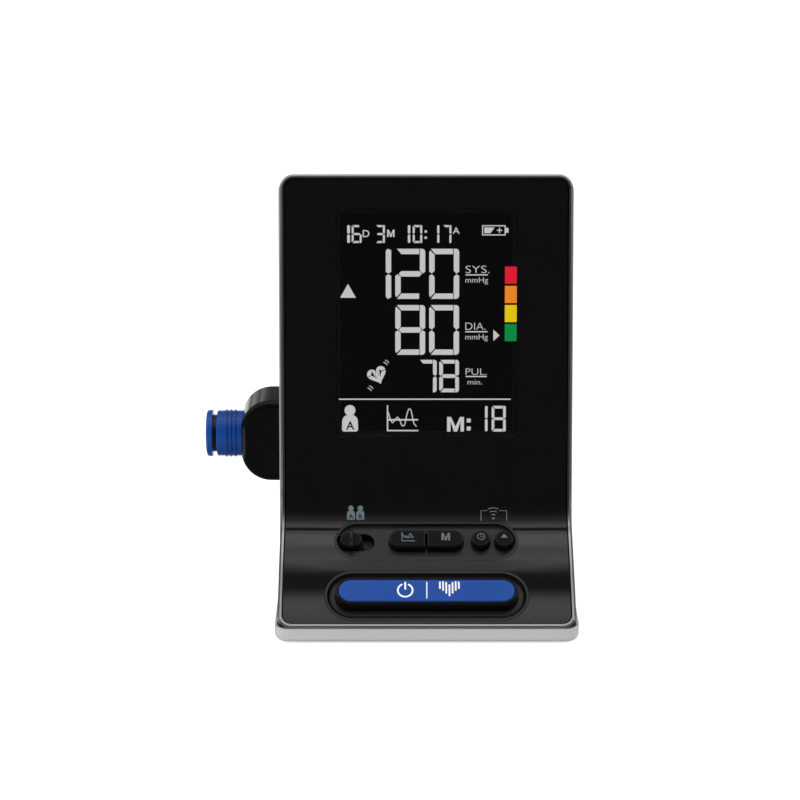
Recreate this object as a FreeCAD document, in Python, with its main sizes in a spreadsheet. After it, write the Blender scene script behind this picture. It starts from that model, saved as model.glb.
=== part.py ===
import FreeCAD, Part
import math
import operator
import os

import Sketcher

# Desktop blood pressure monitor: a leaning display panel that sweeps forward into a sloping
# key deck, a silver rear housing on a silver base plate, and a hose socket on the left side.
# Millimetres. +Z up, the user faces -Y, the origin is on the table under the middle of the base.

DOC = FreeCAD.newDocument("PressureMonitor")
SIZES = DOC.addObject("Spreadsheet::Sheet", "Sizes")
LAYOUT = DOC.addObject("Spreadsheet::Sheet", "Layout")
VECTOR = FreeCAD.Vector
NEAR = 0.02  # how close a picked edge's middle lies to where it is looked for
OPERATIONS = {"+": operator.add, "-": operator.sub, "*": operator.mul, "/": operator.truediv}


# ---------------------------------------------------------------- sizes that know their formula


class Size:
    """A length or an angle in degrees: its value and the sheet formula that gives it."""

    def __init__(self, value, formula):
        self.value = float(value)
        self.formula = formula

    def __add__(self, other):
        return combined(self, "+", other)

    def __radd__(self, other):
        return combined(other, "+", self)

    def __sub__(self, other):
        return combined(self, "-", other)

    def __rsub__(self, other):
        return combined(other, "-", self)

    def __mul__(self, other):
        return combined(self, "*", other)

    def __rmul__(self, other):
        return combined(other, "*", self)

    def __truediv__(self, other):
        return combined(self, "/", other)

    def __rtruediv__(self, other):
        return combined(other, "/", self)

    def __neg__(self):
        return combined(0, "-", self)


def sized(number):
    """A plain number as a Size."""
    return number if isinstance(number, Size) else Size(number, repr(float(number)))


def combined(left, sign, right):
    left, right = sized(left), sized(right)
    value = OPERATIONS[sign](left.value, right.value)
    return Size(value, f"({left.formula} {sign} {right.formula})")


def sine(angle):
    angle = sized(angle)
    return Size(math.sin(math.radians(angle.value)), f"sin({angle.formula})")


def cosine(angle):
    angle = sized(angle)
    return Size(math.cos(math.radians(angle.value)), f"cos({angle.formula})")


def tangent(angle):
    angle = sized(angle)
    return Size(math.tan(math.radians(angle.value)), f"tan({angle.formula})")


def smaller(one, other):
    return Size(min(one.value, other.value), f"min({one.formula}; {other.formula})")


def root(square):
    return Size(math.sqrt(square.value), f"sqrt({square.formula})")


def driven(given):
    """Writes the driving dimensions into the Sizes sheet. Gives each one as a Size."""
    sizes = {}
    for row, (name, value) in enumerate(given.items(), 1):
        SIZES.set(f"A{row}", name.replace("_", " "))
        SIZES.set(f"B{row}", str(value))
        SIZES.setAlias(f"B{row}", name)
        sizes[name] = Size(value, f"Sizes.{name}")
    return sizes


def work_out(name, size):
    """Writes a dimension that follows from others into the Layout sheet, as a formula."""
    row = len(WORKED) + 1
    WORKED.append(name)
    LAYOUT.set(f"A{row}", name)
    LAYOUT.set(f"B{row}", "=" + size.formula.replace("Layout.", ""))
    LAYOUT.setAlias(f"B{row}", name)
    return Size(size.value, f"Layout.{name}")


WORKED = []
NAMES_BEFORE = set(globals())

# ---------------------------------------------------------------- driving dimensions

# Millimetres, and degrees where it says so. Every name below is a plain number up to the next
# part of the file, where all of them become Sizes at once.

# Fits
slip = 0.15  # clearance each side between fixed parts
key_gap = 0.3  # clearance each side around a key
stop_gap = 0.15  # clearance at the end of a key's way
overrun = 4  # how far a cut runs past the piece

# Base plate and feet
base_width = 106.6  # base plate, left to right
base_depth = 90  # base plate, front to back
base_corner = 5  # base plate corner radius in plan
base_edge = 1.8  # rounding of the base plate's lower edge
base_floor = 2  # base plate floor thickness
base_rim = 0.8  # base plate rim thickness
ledge_width = 2  # ledge inside the base plate's rim
ledge_drop = 2.2  # ledge below the top of the rim
rim_height = 5.9  # top of the base plate's rim above the table
foot_height = 0.8  # rubber feet below the base plate
foot_radius = 6  # rubber foot radius
foot_sink = 0.5  # foot recess in the base plate
foot_x = 43  # feet left and right of the middle
foot_front = 35  # front feet in front of the middle
foot_rear = 27  # rear feet behind the middle

# Front curve: lip, convex deck, concave bend, leaning panel
lip_inset = 0.72  # lip behind the base plate's front
lip_height = 6.23  # lip above the table
lip_slope = 40.24  # deck slope at the lip, degrees
deck_radius = 215  # radius of the convex deck
valley_slope = 30  # flattest slope, between deck and bend, degrees
bend_radius = 22  # radius of the concave bend
panel_lean = 15  # display panel's lean from vertical, degrees
top_height = 150.8  # top of the panel above the table

# Front shells
trim_width = 104.7  # trim frame, left to right
trim_edge = 1.4  # trim frame's visible edge
shadow_gap = 0.5  # dark gap between the trim frame and the panel
trim_depth = 3  # trim frame's depth behind the front curve
trim_proud = 0.35  # trim frame's height above the panel
trim_bevel = 0.7  # bevel of the trim frame's outer edge
trim_corner = 5  # trim frame's corner radius
panel_thick = 1.8  # front panel thickness
front_wall = 2  # front housing wall
split_depth = 8  # front curve to the split with the rear housing

# Rear housing
rear_width = 106.4  # rear housing, left to right
rear_wall = 2.2  # rear housing wall
rear_drop = 0.8  # rear housing's top below the trim frame's
roof_slope = 20  # fall of the roof towards the back, degrees
roof_radius = 9  # rounding between roof and back
rear_corner = 5  # rounding of the rear housing's side edges

# Display
window_width = 64.8  # display window width
window_height = 81.6  # display window height
window_corner = 1.6  # display window corner radius
window_drop = 52.9  # panel top to the display window's middle
window_thick = 1.5  # display window thickness
window_sink = 0.15  # display window below the panel's face
window_ledge = 1.5  # ledge that carries the display window
glass_thick = 2  # liquid crystal cell thickness
light_thick = 2.4  # backlight thickness
frame_edge = 2  # display frame width

# Key plane, parallel to the deck
key_slope = 35  # slope of the key plane, degrees
row_up = 15.8  # key recess above the middle of the key plane
row_low = 0.4  # key recess's rim below the key plane
tray_length = 65.8  # key recess length
tray_width = 16.6  # key recess width
tray_rim = 0.8  # key recess wall
tray_sink = 2  # key recess depth
tray_floor = 1.1  # key recess floor thickness
key_rise = 1.1  # key tops above the recess's rim
key_travel = 0.8  # how far a key goes down
key_shift = 0.4  # key row above the middle of its recess
pair_length = 26.5  # graph and memory keys together
pair_split = 0.6  # gap between the graph and memory keys
pair_width = 7.1  # graph and memory keys' width
round_key = 3.3  # round key radius
clock_at = 19.5  # clock key right of the middle
up_at = 27.8  # up key right of the middle
slot_at = 25.3  # user switch slot left of the middle
slot_length = 13.6  # user switch slot length
slot_width = 7.2  # user switch slot width
knob_length = 8  # user switch knob length
knob_travel = 3.2  # user switch travel
knob_margin = 0.6  # user switch knob short of the slot's edge
knob_low = 0.6  # user switch knob's cap below the key tops
ridge_width = 1.3  # ridge across the user switch knob
ridge_rise = 0.7  # ridge above the user switch knob's cap
tongue_side = 1.8  # tongue from the knob down to the slide switch
key_flange = 0.9  # key flange beyond the key
key_edge = 0.6  # rounding of the keys' edges and of their openings
flange_thick = 0.7  # key flange thickness
post_radius = 1.5  # radius of the post under a key

# Start key, on the deck
start_down = 6.5  # start key below the middle of the key plane
start_length = 64.2  # start key length
start_width = 11.1  # start key width
start_rise = 2.6  # start key's top above the deck
start_edge = 0.8  # rounding of the start key's top edge
inlay_edge = 1.1  # start key's black rim around the blue inlay
inlay_thick = 1.2  # blue inlay thickness
inlay_proud = 0.15  # blue inlay above the start key's rim
start_travel = 0.9  # how far the start key goes down
start_posts = 18  # start key's side posts from its middle
bezel_length = 72.3  # start bezel length
bezel_width = 20  # start bezel width
bezel_low = 0.4  # start bezel's middle below the start key's
bezel_sink = 1.8  # depth of the start bezel's dish
bezel_rim = 0.9  # start bezel's rim around its dish
bezel_round = 1.6  # rounding inside the start bezel's dish
bezel_floor = 1.2  # start bezel's floor thickness

# Boards and switches
board_thick = 1.2  # circuit board thickness
board_deep = 7.4  # key board below the key plane
board_width = 82  # key board width
board_low = 12.6  # key board's lower end below the key plane's middle
board_high = 22  # key board's upper end above the key plane's middle
switch_size = 5  # dome switch side
switch_height = 1.8  # dome switch height
dome_radius = 1.6  # dome radius of a dome switch
main_side = 3  # main board beyond its posts, left and right
main_end = 3.5  # main board beyond its posts, above and below
main_height = 92  # main board height
main_thick = 1.6  # main board thickness
main_round = 2  # both boards' corner radius

# On the back of the main board, from the display window's middle
processor_x = 2  # processor right
processor_up = 4  # processor up
processor_side = 13  # processor side
processor_thick = 1.6  # processor thickness
radio_x = 24  # radio module right
radio_up = 30  # radio module up
radio_width = 16  # radio module width
radio_height = 13  # radio module height
radio_thick = 2.2  # radio module thickness
memory_x = 18  # memory chip left
memory_up = 6  # memory chip up
memory_width = 6  # memory chip width
memory_height = 5  # memory chip height
memory_thick = 1.4  # memory chip thickness
capacitor_x = 15  # middle capacitor right
capacitor_down = 26  # capacitors down
capacitor_pitch = 7  # capacitor spacing
capacitor_radius = 2.5  # capacitor radius
capacitor_height = 6  # capacitor height
buzzer_x = 24  # buzzer left
buzzer_up = 30  # buzzer up
buzzer_radius = 6  # buzzer radius
buzzer_height = 4  # buzzer height
buzzer_hole = 1  # buzzer hole radius
cable_width = 14  # flat cable width
cable_thick = 0.3  # flat cable thickness
cable_lap = 5  # flat cable along each board
cable_lift = 0.4  # flat cable's bends behind the boards

# Air system
tube_y = 14  # plane of pump and tubes behind the middle
port_y = 27  # hose socket behind the middle
port_z = 52  # hose socket above the table
pump_z = 20  # pump axis above the table
pump_radius = 10.5  # pump radius
pump_left = 24  # pump outlet end left of the middle
head_length = 18  # pump head length
motor_length = 27  # pump motor length
sleeve_wall = 1.1  # rubber sleeves around the pump, wall
sleeve_width = 5  # rubber sleeves around the pump, width
manifold_x = 42  # manifold left of the middle
manifold_size = 8  # manifold width and height
manifold_front = 11.2  # manifold's front behind the middle
barb_length = 2.4  # hose barb length
tube_bore = 1.25  # inner radius of the soft tubes
tube_wall = 1  # wall of the soft tubes
tube_bend = 8  # bend radius of the pump tube
valve_width = 12  # valve width
valve_height = 17.5  # valve height
sensor_size = 9  # pressure sensor side
sensor_axis = 2.6  # pressure sensor's barb behind the main board

# Hose socket
boss_reach = 14.6  # socket housing out of the side
boss_height = 31.2  # socket housing height
boss_depth = 20  # socket housing front to back
boss_round = 11  # socket housing's large corners
boss_edge = 2.4  # socket housing's edge rounding
body_radius = 8.5  # socket body radius
body_out = 9.2  # socket body beyond its housing
body_in = 6.4  # socket body inside its housing
rib_first = 3.3  # first grip rib from the socket housing
rib_pitch = 1.6  # grip rib spacing
rib_width = 0.7  # grip rib width
rib_height = 0.35  # grip rib height
release_radius = 6.9  # release sleeve radius
release_in = 5.4  # release sleeve inside the socket body
release_gap = 1.6  # gap between socket body and release flange
release_travel = 1.2  # how far the release flange goes in
release_fit = 0.08  # clearance each side of the release sleeve
lip_radius = 8.7  # release flange radius
lip_thick = 2.3  # release flange thickness
lip_dome = 1.1  # rounding of the release flange's outer edge
core_radius = 4.5  # socket core radius
core_back = 1  # socket core's mouth inside the socket body
socket_radius = 3  # socket bore radius, for the hose plug
socket_depth = 9  # length of the plain socket bore
tail_radius = 2.4  # air pipe behind the socket core
tail_bore = 1.3  # air pipe bore radius
tail_seat = 2.6  # air pipe inside the manifold
ring_length = 2.6  # rubber return ring length
seal_wire = 0.6  # seal ring section radius

# Power
cell_radius = 7.1  # battery cell radius
cell_length = 49.3  # battery cell length without its cap
cell_cap = 1.2  # battery cell cap height
cap_radius = 2.7  # battery cell cap radius
cell_pitch = 15  # battery cell spacing
cell_gap = 0.2  # clearance in front of and behind the cells
contact_room = 2.4  # room for a contact at a cell's end
contact_thick = 0.4  # contact sheet thickness
contact_margin = 2  # contact sheet inside a cell's edge
leaf_radius = 2.4  # contact leaf radius
tray_wall = 1.4  # battery box wall
battery_base = 10.6  # battery box's underside above the table
flange_edge = 2  # battery box flange beyond the door
door_thick = 2  # battery door thickness
door_margin = 2.2  # door opening beyond the battery box
door_pin = 0.7  # battery door's hinge pin radius
pin_length = 1.4  # battery door's hinge pin length
grip_width = 22  # battery door's thumb grip width
grip_high = 9  # battery door's thumb grip height
grip_drop = 7  # thumb grip's middle below the door's top edge
grip_deep = 1  # thumb grip depth
grip_margin = 4  # thumb grip's ribs short of its ends
grip_rib = 0.8  # thumb grip rib width
grip_rib_rise = 0.6  # thumb grip rib height
grip_rib_pitch = 2  # thumb grip rib spacing
jack_x = 42.5  # power jack right of the middle
jack_z = 20  # power jack above the table
jack_side = 9.4  # power jack side
jack_length = 12  # power jack length inside the wall
jack_collar = 4  # power jack collar radius
jack_bore = 2.9  # power jack bore radius
jack_depth = 9  # power jack bore depth
jack_pin = 1  # power jack pin radius

# Screws
screw_radius = 1.1  # screw shank radius
screw_head = 2.2  # screw head radius
head_thick = 1.3  # screw head thickness
drive_radius = 0.9  # screw drive radius
boss_radius = 3  # screw boss radius
post_slim = 0.8  # a board post thinner than a screw boss, in radius
base_screw = 7  # base screw shank length
base_screw_x = 45.4  # base screws left and right of the middle
base_screw_front = 24  # front base screws in front of the middle
base_screw_rear = 38  # rear base screws behind the middle
shell_screw = 6  # shell screw shank length
shell_screw_x = 45.4  # shell screws left and right of the middle
shell_screw_drop = 22.8  # shell screws below the top
shell_post = 5.7  # shell screw posts behind the front wall
board_screw = 3.6  # board screw shank length
key_post_x = 38.6  # key board posts left and right of the middle
key_post_low = 6  # lower key board posts below the middle
key_post_high = 17  # upper key board posts above the middle
main_post_gap = 2.25  # main board posts beside the display frame

GIVEN = {name: value for name, value in globals().items() if name not in NAMES_BEFORE}
GIVEN.pop("NAMES_BEFORE")
globals().update(driven(GIVEN))

# ---------------------------------------------------------------- worked-out dimensions

lip_y = work_out("lip_y", lip_inset - base_depth / 2)
back_y = work_out("back_y", base_depth / 2)
deck_y = work_out("deck_y", lip_y + deck_radius * sine(lip_slope))
deck_z = work_out("deck_z", lip_height - deck_radius * cosine(lip_slope))
bend_reach = deck_radius + bend_radius
bend_y = work_out("bend_y", deck_y - bend_reach * sine(valley_slope))
bend_z = work_out("bend_z", deck_z + bend_reach * cosine(valley_slope))
panel_tilt = work_out("panel_tilt", 90 - panel_lean)
foot_y = work_out("panel_foot_y", bend_y + bend_radius * sine(panel_tilt))
foot_z = work_out("panel_foot_z", bend_z - bend_radius * cosine(panel_tilt))
top_y = work_out("top_y", foot_y + (top_height - foot_z) * tangent(panel_lean))
window_y = work_out("window_y", top_y - window_drop * sine(panel_lean))
window_z = work_out("window_z", top_height - window_drop * cosine(panel_lean))
plane_y = work_out("plane_y", deck_y - deck_radius * sine(key_slope))
plane_z = work_out("plane_z", deck_z + deck_radius * cosine(key_slope))
panel_back = work_out("panel_back", panel_thick + front_wall)
floor_top = work_out("floor_top", foot_height + base_floor)
split_y = work_out("split_y", foot_y + split_depth / cosine(panel_lean))
split_base_y = work_out("split_base_y", split_y - (foot_z - rim_height) * tangent(panel_lean))
crest_y = work_out("crest_y", top_y + split_depth * cosine(panel_lean) - rear_drop * sine(panel_lean))
crest_z = work_out(
    "crest_z", top_height - split_depth * sine(panel_lean) - rear_drop * cosine(panel_lean)
)
roof_room = work_out("roof_room", 0.9 * (back_y - crest_y) / (1 - sine(roof_slope)))
roof_round = work_out("roof_round", smaller(roof_radius, roof_room))
side_round = work_out("side_round", smaller(rear_corner, 0.9 * roof_round))
roof_y = work_out("roof_y", back_y - roof_round)
roof_z = work_out(
    "roof_z", crest_z - (roof_round - (crest_y - roof_y) * sine(roof_slope)) / cosine(roof_slope)
)
side_x = work_out("side_x", rear_width / 2)
inner_x = work_out("inner_x", side_x - rear_wall)
inner_y = work_out("inner_y", back_y - rear_wall)
boss_low = work_out("boss_low", floor_top + 1.6)
base_seat = work_out("base_seat", foot_height + head_thick + 0.5)
base_drilled = work_out("base_drilled", base_seat + base_screw + stop_gap - boss_low)
post_side = work_out("post_side", boss_radius - post_slim)
main_post_x = work_out(
    "main_post_x", window_width / 2 + frame_edge + slip + main_post_gap + post_side
)
main_post_y = work_out("main_post_y", main_height / 2 - main_end)
main_width = work_out("main_width", 2 * (main_post_x + main_side))
shell_width = work_out("shell_width", trim_width - 2 * trim_edge / 3)
shell_screw_z = work_out("shell_screw_z", top_height - shell_screw_drop)
shell_front = work_out(
    "shell_front", foot_y + (shell_screw_z - foot_z) * tangent(panel_lean) + panel_back
)
shell_seat_y = work_out("shell_seat_y", shell_front + shell_post)
face_inset = work_out("face_inset", trim_edge + shadow_gap)
step_inset = work_out("step_inset", face_inset + (trim_corner - trim_edge) * 0.3)

glass_front = work_out("glass_front", window_sink + window_thick + slip / 2)
light_front = work_out("light_front", panel_back)
frame_back = work_out("frame_back", light_front + light_thick + slip)
main_back = work_out("main_back", frame_back + main_thick)

tray_top = work_out("tray_top", row_low + tray_sink)
tray_under = work_out("tray_under", tray_top + tray_floor)
key_row = work_out("key_row", row_up + key_shift)
key_top = work_out("key_top", key_rise - row_low)
switch_top = work_out("switch_top", board_deep - switch_height)
bezel_at = work_out("bezel_at", -start_down - bezel_low)
bezel_under = work_out("bezel_under", bezel_sink + bezel_floor)
knob_at = work_out("knob_at", -slot_at - knob_travel / 2)

sensor_z = work_out(
    "sensor_z",
    foot_z + (tube_y - foot_y - (main_back + sensor_axis) / cosine(panel_lean)) / tangent(panel_lean),
)
barb_radius = work_out("barb_radius", tube_bore - slip / 3)
tube_radius = work_out("tube_radius", tube_bore + tube_wall)
manifold_back = work_out("manifold_back", port_y + manifold_size / 2)

boss_face = work_out("boss_face", side_x + boss_reach)
body_root = work_out("body_root", boss_face - body_in)
body_end = work_out("body_end", boss_face + body_out)
lip_root = work_out("lip_root", body_end + release_gap)
lip_end = work_out("lip_end", lip_root + lip_thick)
release_root = work_out("release_root", body_end - release_in)
core_end = work_out("core_end", body_end - core_back)
ring_root = work_out("ring_root", release_root - ring_length)

cell_room = work_out("cell_room", cell_length + cell_cap + 2 * contact_room)
box_width = work_out("box_width", 4 * cell_pitch + 2 * tray_wall)
box_height = work_out("box_height", cell_room + 2 * tray_wall)
cells_z = work_out("cells_z", battery_base + tray_wall)
door_inner_y = work_out("door_inner_y", back_y - door_thick)
cells_y = work_out("cells_y", door_inner_y - 2 * cell_gap - cell_radius)
box_front = work_out("box_front", cells_y - cell_radius - cell_gap - tray_wall)
door_width = work_out("door_width", box_width + 2 * door_margin)
door_low = work_out("door_low", battery_base - door_margin)
door_high = work_out("door_high", battery_base + box_height + door_margin)
hinge_radius = work_out("hinge_radius", door_thick / 2)
hinge_y = work_out("hinge_y", back_y - hinge_radius)
hinge_z = work_out("hinge_z", door_low + hinge_radius + slip)
DOC.recompute()


# ---------------------------------------------------------------- outlines

# An outline is a list of corners. A corner is (x, y), or (x, y, centre, turn) where the edge
# that starts there is an arc about centre: turn is 1 anticlockwise and -1 clockwise.


def rectangle(width, height, x=0, y=0):
    left, right = x - width / 2, x + width / 2
    low, high = y - height / 2, y + height / 2
    return [(left, low), (right, low), (right, high), (left, high)]


def rounded(width, height, corner, x=0, y=0):
    """A rectangle with round corners."""
    left, right = x - width / 2, x + width / 2
    low, high = y - height / 2, y + height / 2
    near_left, near_right = left + corner, right - corner
    near_low, near_high = low + corner, high - corner
    return [
        (near_left, low),
        (near_right, low, (near_right, near_low), 1),
        (right, near_low),
        (right, near_high, (near_right, near_high), 1),
        (near_right, high),
        (near_left, high, (near_left, near_high), 1),
        (left, near_high),
        (left, near_low, (near_left, near_low), 1),
    ]


def stadium(length, width, x=0, y=0):
    """A slot shape with its length along x."""
    half, end = width / 2, length / 2 - width / 2
    left, right, low, high = x - end, x + end, y - half, y + half
    return [
        (left, low),
        (right, low, (right, y), 1),
        (right, high),
        (left, high, (left, y), 1),
    ]


def half_stadium(length, width, gap, side, y=0):
    """One half of a stadium that is cut across its middle, on the side 1 or -1."""
    low, high = y - width / 2, y + width / 2
    inner, centre = side * gap / 2, side * (length - width) / 2
    return [(inner, low), (centre, low, (centre, y), side), (centre, high), (inner, high)]


def on_deck(depth, slope):
    """The point of the deck, depth behind the front curve, where the surface has that slope."""
    reach = deck_radius - depth
    return deck_y - reach * sine(slope), deck_z + reach * cosine(slope)


def on_bend(depth, slope):
    reach = bend_radius + depth
    return bend_y + reach * sine(slope), bend_z - reach * cosine(slope)


def at_top(depth, inset):
    """The panel's end, depth behind its face and inset below its top."""
    y = top_y + depth * cosine(panel_lean) - inset * sine(panel_lean)
    z = top_height - depth * sine(panel_lean) - inset * cosine(panel_lean)
    return y, z


def lip_end_slope(inset):
    """The deck's slope at a point that far up from the lip."""
    return lip_slope - inset / deck_radius * (180 / math.pi)


def front_curve(depth, inset):
    """The corners of the front curve from lip to top, that deep, its ends drawn in by inset."""
    deck, bend = (deck_y, deck_z), (bend_y, bend_z)
    return [
        (*on_deck(depth, lip_end_slope(inset)), deck, -1),
        (*on_deck(depth, valley_slope), bend, 1),
        on_bend(depth, panel_tilt),
        at_top(depth, inset),
    ]


def band(front, back, inset):
    """A sheet that follows the front curve between two depths."""
    deck, bend = (deck_y, deck_z), (bend_y, bend_z)
    returning = [
        at_top(back, inset),
        (*on_bend(back, panel_tilt), bend, -1),
        (*on_deck(back, valley_slope), deck, 1),
        on_deck(back, lip_end_slope(inset)),
    ]
    return front_curve(front, inset) + returning


def open_air():
    """All that lies in front of the front curve."""
    front, above = lip_y - 40, top_height + 20
    return front_curve(0, 0) + [(top_y, above), (front, above), (front, lip_height - 20)]


def key_point(up, depth):
    """A point up along the key plane and deep below it, as y and z."""
    y = plane_y + up * cosine(key_slope) + depth * sine(key_slope)
    z = plane_z + up * sine(key_slope) - depth * cosine(key_slope)
    return y, z


def panel_point(up, depth):
    """A point up from the display window's middle and deep behind the panel's face."""
    y = window_y + up * sine(panel_lean) + depth * cosine(panel_lean)
    z = window_z + up * cosine(panel_lean) - depth * sine(panel_lean)
    return y, z


# ---------------------------------------------------------------- pieces


def bind(thing, path, size):
    """Sets a property from a size, and ties it to the size's formula."""
    thing.setExpression(path, sized(size).formula)


class Piece:
    """One sub-part: a body whose sketches and features take their sizes from the sheets."""

    def __init__(self, label, x=0, y=0, z=0, tilt=None, axis=(1, 0, 0)):
        self.body = DOC.addObject("PartDesign::Body", label)
        self.body.Label = label
        self.body.AllowCompound = True
        angle = sized(0 if tilt is None else tilt)
        rotation = FreeCAD.Rotation(VECTOR(*axis), angle.value)
        place = VECTOR(*(sized(v).value for v in (x, y, z)))
        self.body.Placement = FreeCAD.Placement(place, rotation)
        for name, size in (("x", x), ("y", y), ("z", z)):
            bind(self.body, f"Placement.Base.{name}", size)
        if tilt is not None:
            bind(self.body, "Placement.Rotation.Angle", angle)
        self.tip = None

    def sketch(self, *outlines, plane="XY", lift=0, y=0, z=0, tilt=None):
        """A sketch of closed outlines and circles (x, y, radius) on a plane of the body.

        lift moves it along the plane's normal. With a tilt, the XY plane is first moved to
        y and z and turned about X."""
        sketch = self.body.newObject("Sketcher::SketchObject", "Sketch")
        support = [f for f in self.body.Origin.OriginFeatures if f.Role == plane + "_Plane"]
        sketch.AttachmentSupport = [(support[0], "")]
        sketch.MapMode = "FlatFace"
        angle = sized(0 if tilt is None else tilt)
        if tilt is None:
            offset = {"z": sized(lift)}
        else:
            offset = {"y": y - lift * sine(angle), "z": z + lift * cosine(angle)}
        place = VECTOR(0, sized(offset.get("y", 0)).value, offset["z"].value)
        rotation = FreeCAD.Rotation(VECTOR(1, 0, 0), angle.value)
        sketch.AttachmentOffset = FreeCAD.Placement(place, rotation)
        for name, size in offset.items():
            bind(sketch, f"AttachmentOffset.Base.{name}", size)
        if tilt is not None:
            bind(sketch, "AttachmentOffset.Rotation.Angle", angle)
        for outline in outlines:
            if isinstance(outline, tuple):
                draw_circle(sketch, *outline)
            else:
                draw_outline(sketch, outline)
        return sketch

    def add(self, kind, sketch, length, both=False, back=False):
        feature = self.body.newObject("PartDesign::" + kind, kind)
        feature.Profile = sketch
        feature.Midplane = both
        feature.Reversed = back
        feature.Length = sized(length).value
        bind(feature, "Length", length)
        before = self.body.Shape.Volume if self.tip else 0
        DOC.recompute()
        after = feature.Shape.Volume
        if (kind == "Pad" and after <= before) or (kind == "Pocket" and after >= before):
            raise RuntimeError(f"{self.body.Label}: a {kind} changes nothing")
        self.tip = feature
        return self

    def pad(self, sketch, length, both=False, back=False):
        return self.add("Pad", sketch, length, both, back)

    def pocket(self, sketch, length, both=False, back=False):
        """Cuts against the sketch's normal, or along it with back."""
        return self.add("Pocket", sketch, length, both, back)

    def turned(self, outline, kind="Revolution"):
        """Spins an outline in the XZ plane about the body's Z axis."""
        feature = self.body.newObject("PartDesign::" + kind, kind)
        feature.Profile = self.sketch(outline, plane="XZ")
        feature.ReferenceAxis = (feature.Profile[0], ["V_Axis"])
        feature.Angle = 360
        DOC.recompute()
        self.tip = feature
        return self

    def dress(self, kind, size_name, size, test):
        """A Fillet or Chamfer on the edges of the last feature whose middle passes the test."""
        names = []
        for number, edge in enumerate(self.tip.Shape.Edges, 1):
            middle = edge.valueAt((edge.FirstParameter + edge.LastParameter) / 2)
            if test(middle, edge):
                names.append(f"Edge{number}")
        if not names:
            raise RuntimeError(f"{self.body.Label}: a {kind} finds no edge")
        feature = self.body.newObject("PartDesign::" + kind, kind)
        feature.Base = (self.tip, names)
        setattr(feature, size_name, sized(size).value)
        bind(feature, size_name, size)
        DOC.recompute()
        self.tip = feature
        return self

    def round_edges(self, radius, test):
        return self.dress("Fillet", "Radius", radius, test)

    def bevel_edges(self, size, test):
        return self.dress("Chamfer", "Size", size, test)


def fix_point(sketch, geometry, end, x, y):
    """Holds a sketch point at x and y from the sketch's origin."""
    for kind, size in (("DistanceX", sized(x)), ("DistanceY", sized(y))):
        number = sketch.addConstraint(
            Sketcher.Constraint(kind, -1, 1, geometry, end, size.value)
        )
        sketch.setExpression(f"Constraints[{number}]", size.formula)


def draw_circle(sketch, x, y, radius):
    centre = VECTOR(sized(x).value, sized(y).value, 0)
    circle = Part.Circle(centre, VECTOR(0, 0, 1), sized(radius).value)
    geometry = sketch.addGeometry(circle, False)
    fix_point(sketch, geometry, 3, x, y)
    number = sketch.addConstraint(Sketcher.Constraint("Radius", geometry, sized(radius).value))
    sketch.setExpression(f"Constraints[{number}]", sized(radius).formula)


def draw_arc(sketch, corner, start, end):
    """Draws the arc that starts at a corner. Gives its number, first and last end."""
    centre = VECTOR(sized(corner[2][0]).value, sized(corner[2][1]).value, 0)
    angles = [math.atan2(p.y - centre.y, p.x - centre.x) for p in (start, end)]
    if corner[3] < 0:
        angles.reverse()
    if angles[1] <= angles[0]:
        angles[1] += 2 * math.pi
    circle = Part.Circle(centre, VECTOR(0, 0, 1), start.distanceToPoint(centre))
    geometry = sketch.addGeometry(Part.ArcOfCircle(circle, *angles), False)
    return (geometry, 1, 2) if corner[3] > 0 else (geometry, 2, 1)


def hold_centre(sketch, geometry, corner, after):
    """Holds an arc's centre along the direction that its two ends leave open."""
    across = abs(sized(after[0]).value - sized(corner[0]).value)
    along = abs(sized(after[1]).value - sized(corner[1]).value)
    kind, size = ("DistanceX", corner[2][0]) if along > across else ("DistanceY", corner[2][1])
    number = sketch.addConstraint(
        Sketcher.Constraint(kind, -1, 1, geometry, 3, sized(size).value)
    )
    sketch.setExpression(f"Constraints[{number}]", sized(size).formula)


def draw_outline(sketch, corners):
    """Draws a closed outline. Its corners are held in place, and each arc by its centre."""
    edges = []
    for corner, after in zip(corners, corners[1:] + corners[:1]):
        start = VECTOR(sized(corner[0]).value, sized(corner[1]).value, 0)
        end = VECTOR(sized(after[0]).value, sized(after[1]).value, 0)
        if len(corner) == 2:
            edges.append((sketch.addGeometry(Part.LineSegment(start, end), False), 1, 2))
        else:
            edges.append(draw_arc(sketch, corner, start, end))
    for number, (corner, (geometry, first, last)) in enumerate(zip(corners, edges)):
        following, its_first, _ = edges[(number + 1) % len(edges)]
        sketch.addConstraint(
            Sketcher.Constraint("Coincident", geometry, last, following, its_first)
        )
        fix_point(sketch, geometry, first, corner[0], corner[1])
        if len(corner) > 2:
            hold_centre(sketch, geometry, corner, corners[(number + 1) % len(corners)])


def near(value, size):
    """True where a coordinate of a picked edge lies at a size."""
    return abs(value - sized(size).value) < NEAR


def without(label, base, tool):
    """A sub-part that is one shape less another."""
    cut = DOC.addObject("Part::Cut", label)
    cut.Label = label
    cut.Base = base
    cut.Tool = tool
    DOC.recompute()
    return cut


# ---------------------------------------------------------------- frames of the sub-parts


def on_panel(label, up=0, right=0):
    """A piece whose z points out of the panel's face, from the display window's middle."""
    y, z = panel_point(up, 0)
    return Piece(label, x=right, y=y, z=z, tilt=panel_tilt)


def on_keys(label):
    """A piece whose z points out of the key plane."""
    return Piece(label, y=plane_y, z=plane_z, tilt=key_slope)


def key_sketch(piece, *outlines, lift=0):
    """A sketch parallel to the key plane in a piece that stands in the common frame."""
    return piece.sketch(*outlines, y=plane_y, z=plane_z, tilt=key_slope, lift=lift)


def panel_sketch(piece, *outlines, lift=0):
    return piece.sketch(*outlines, y=window_y, z=window_z, tilt=panel_tilt, lift=lift)


def leftward(label, y, z):
    """A piece whose z points out to the left, along the hose socket."""
    return Piece(label, y=y, z=z, tilt=-90, axis=(0, 1, 0))


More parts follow.
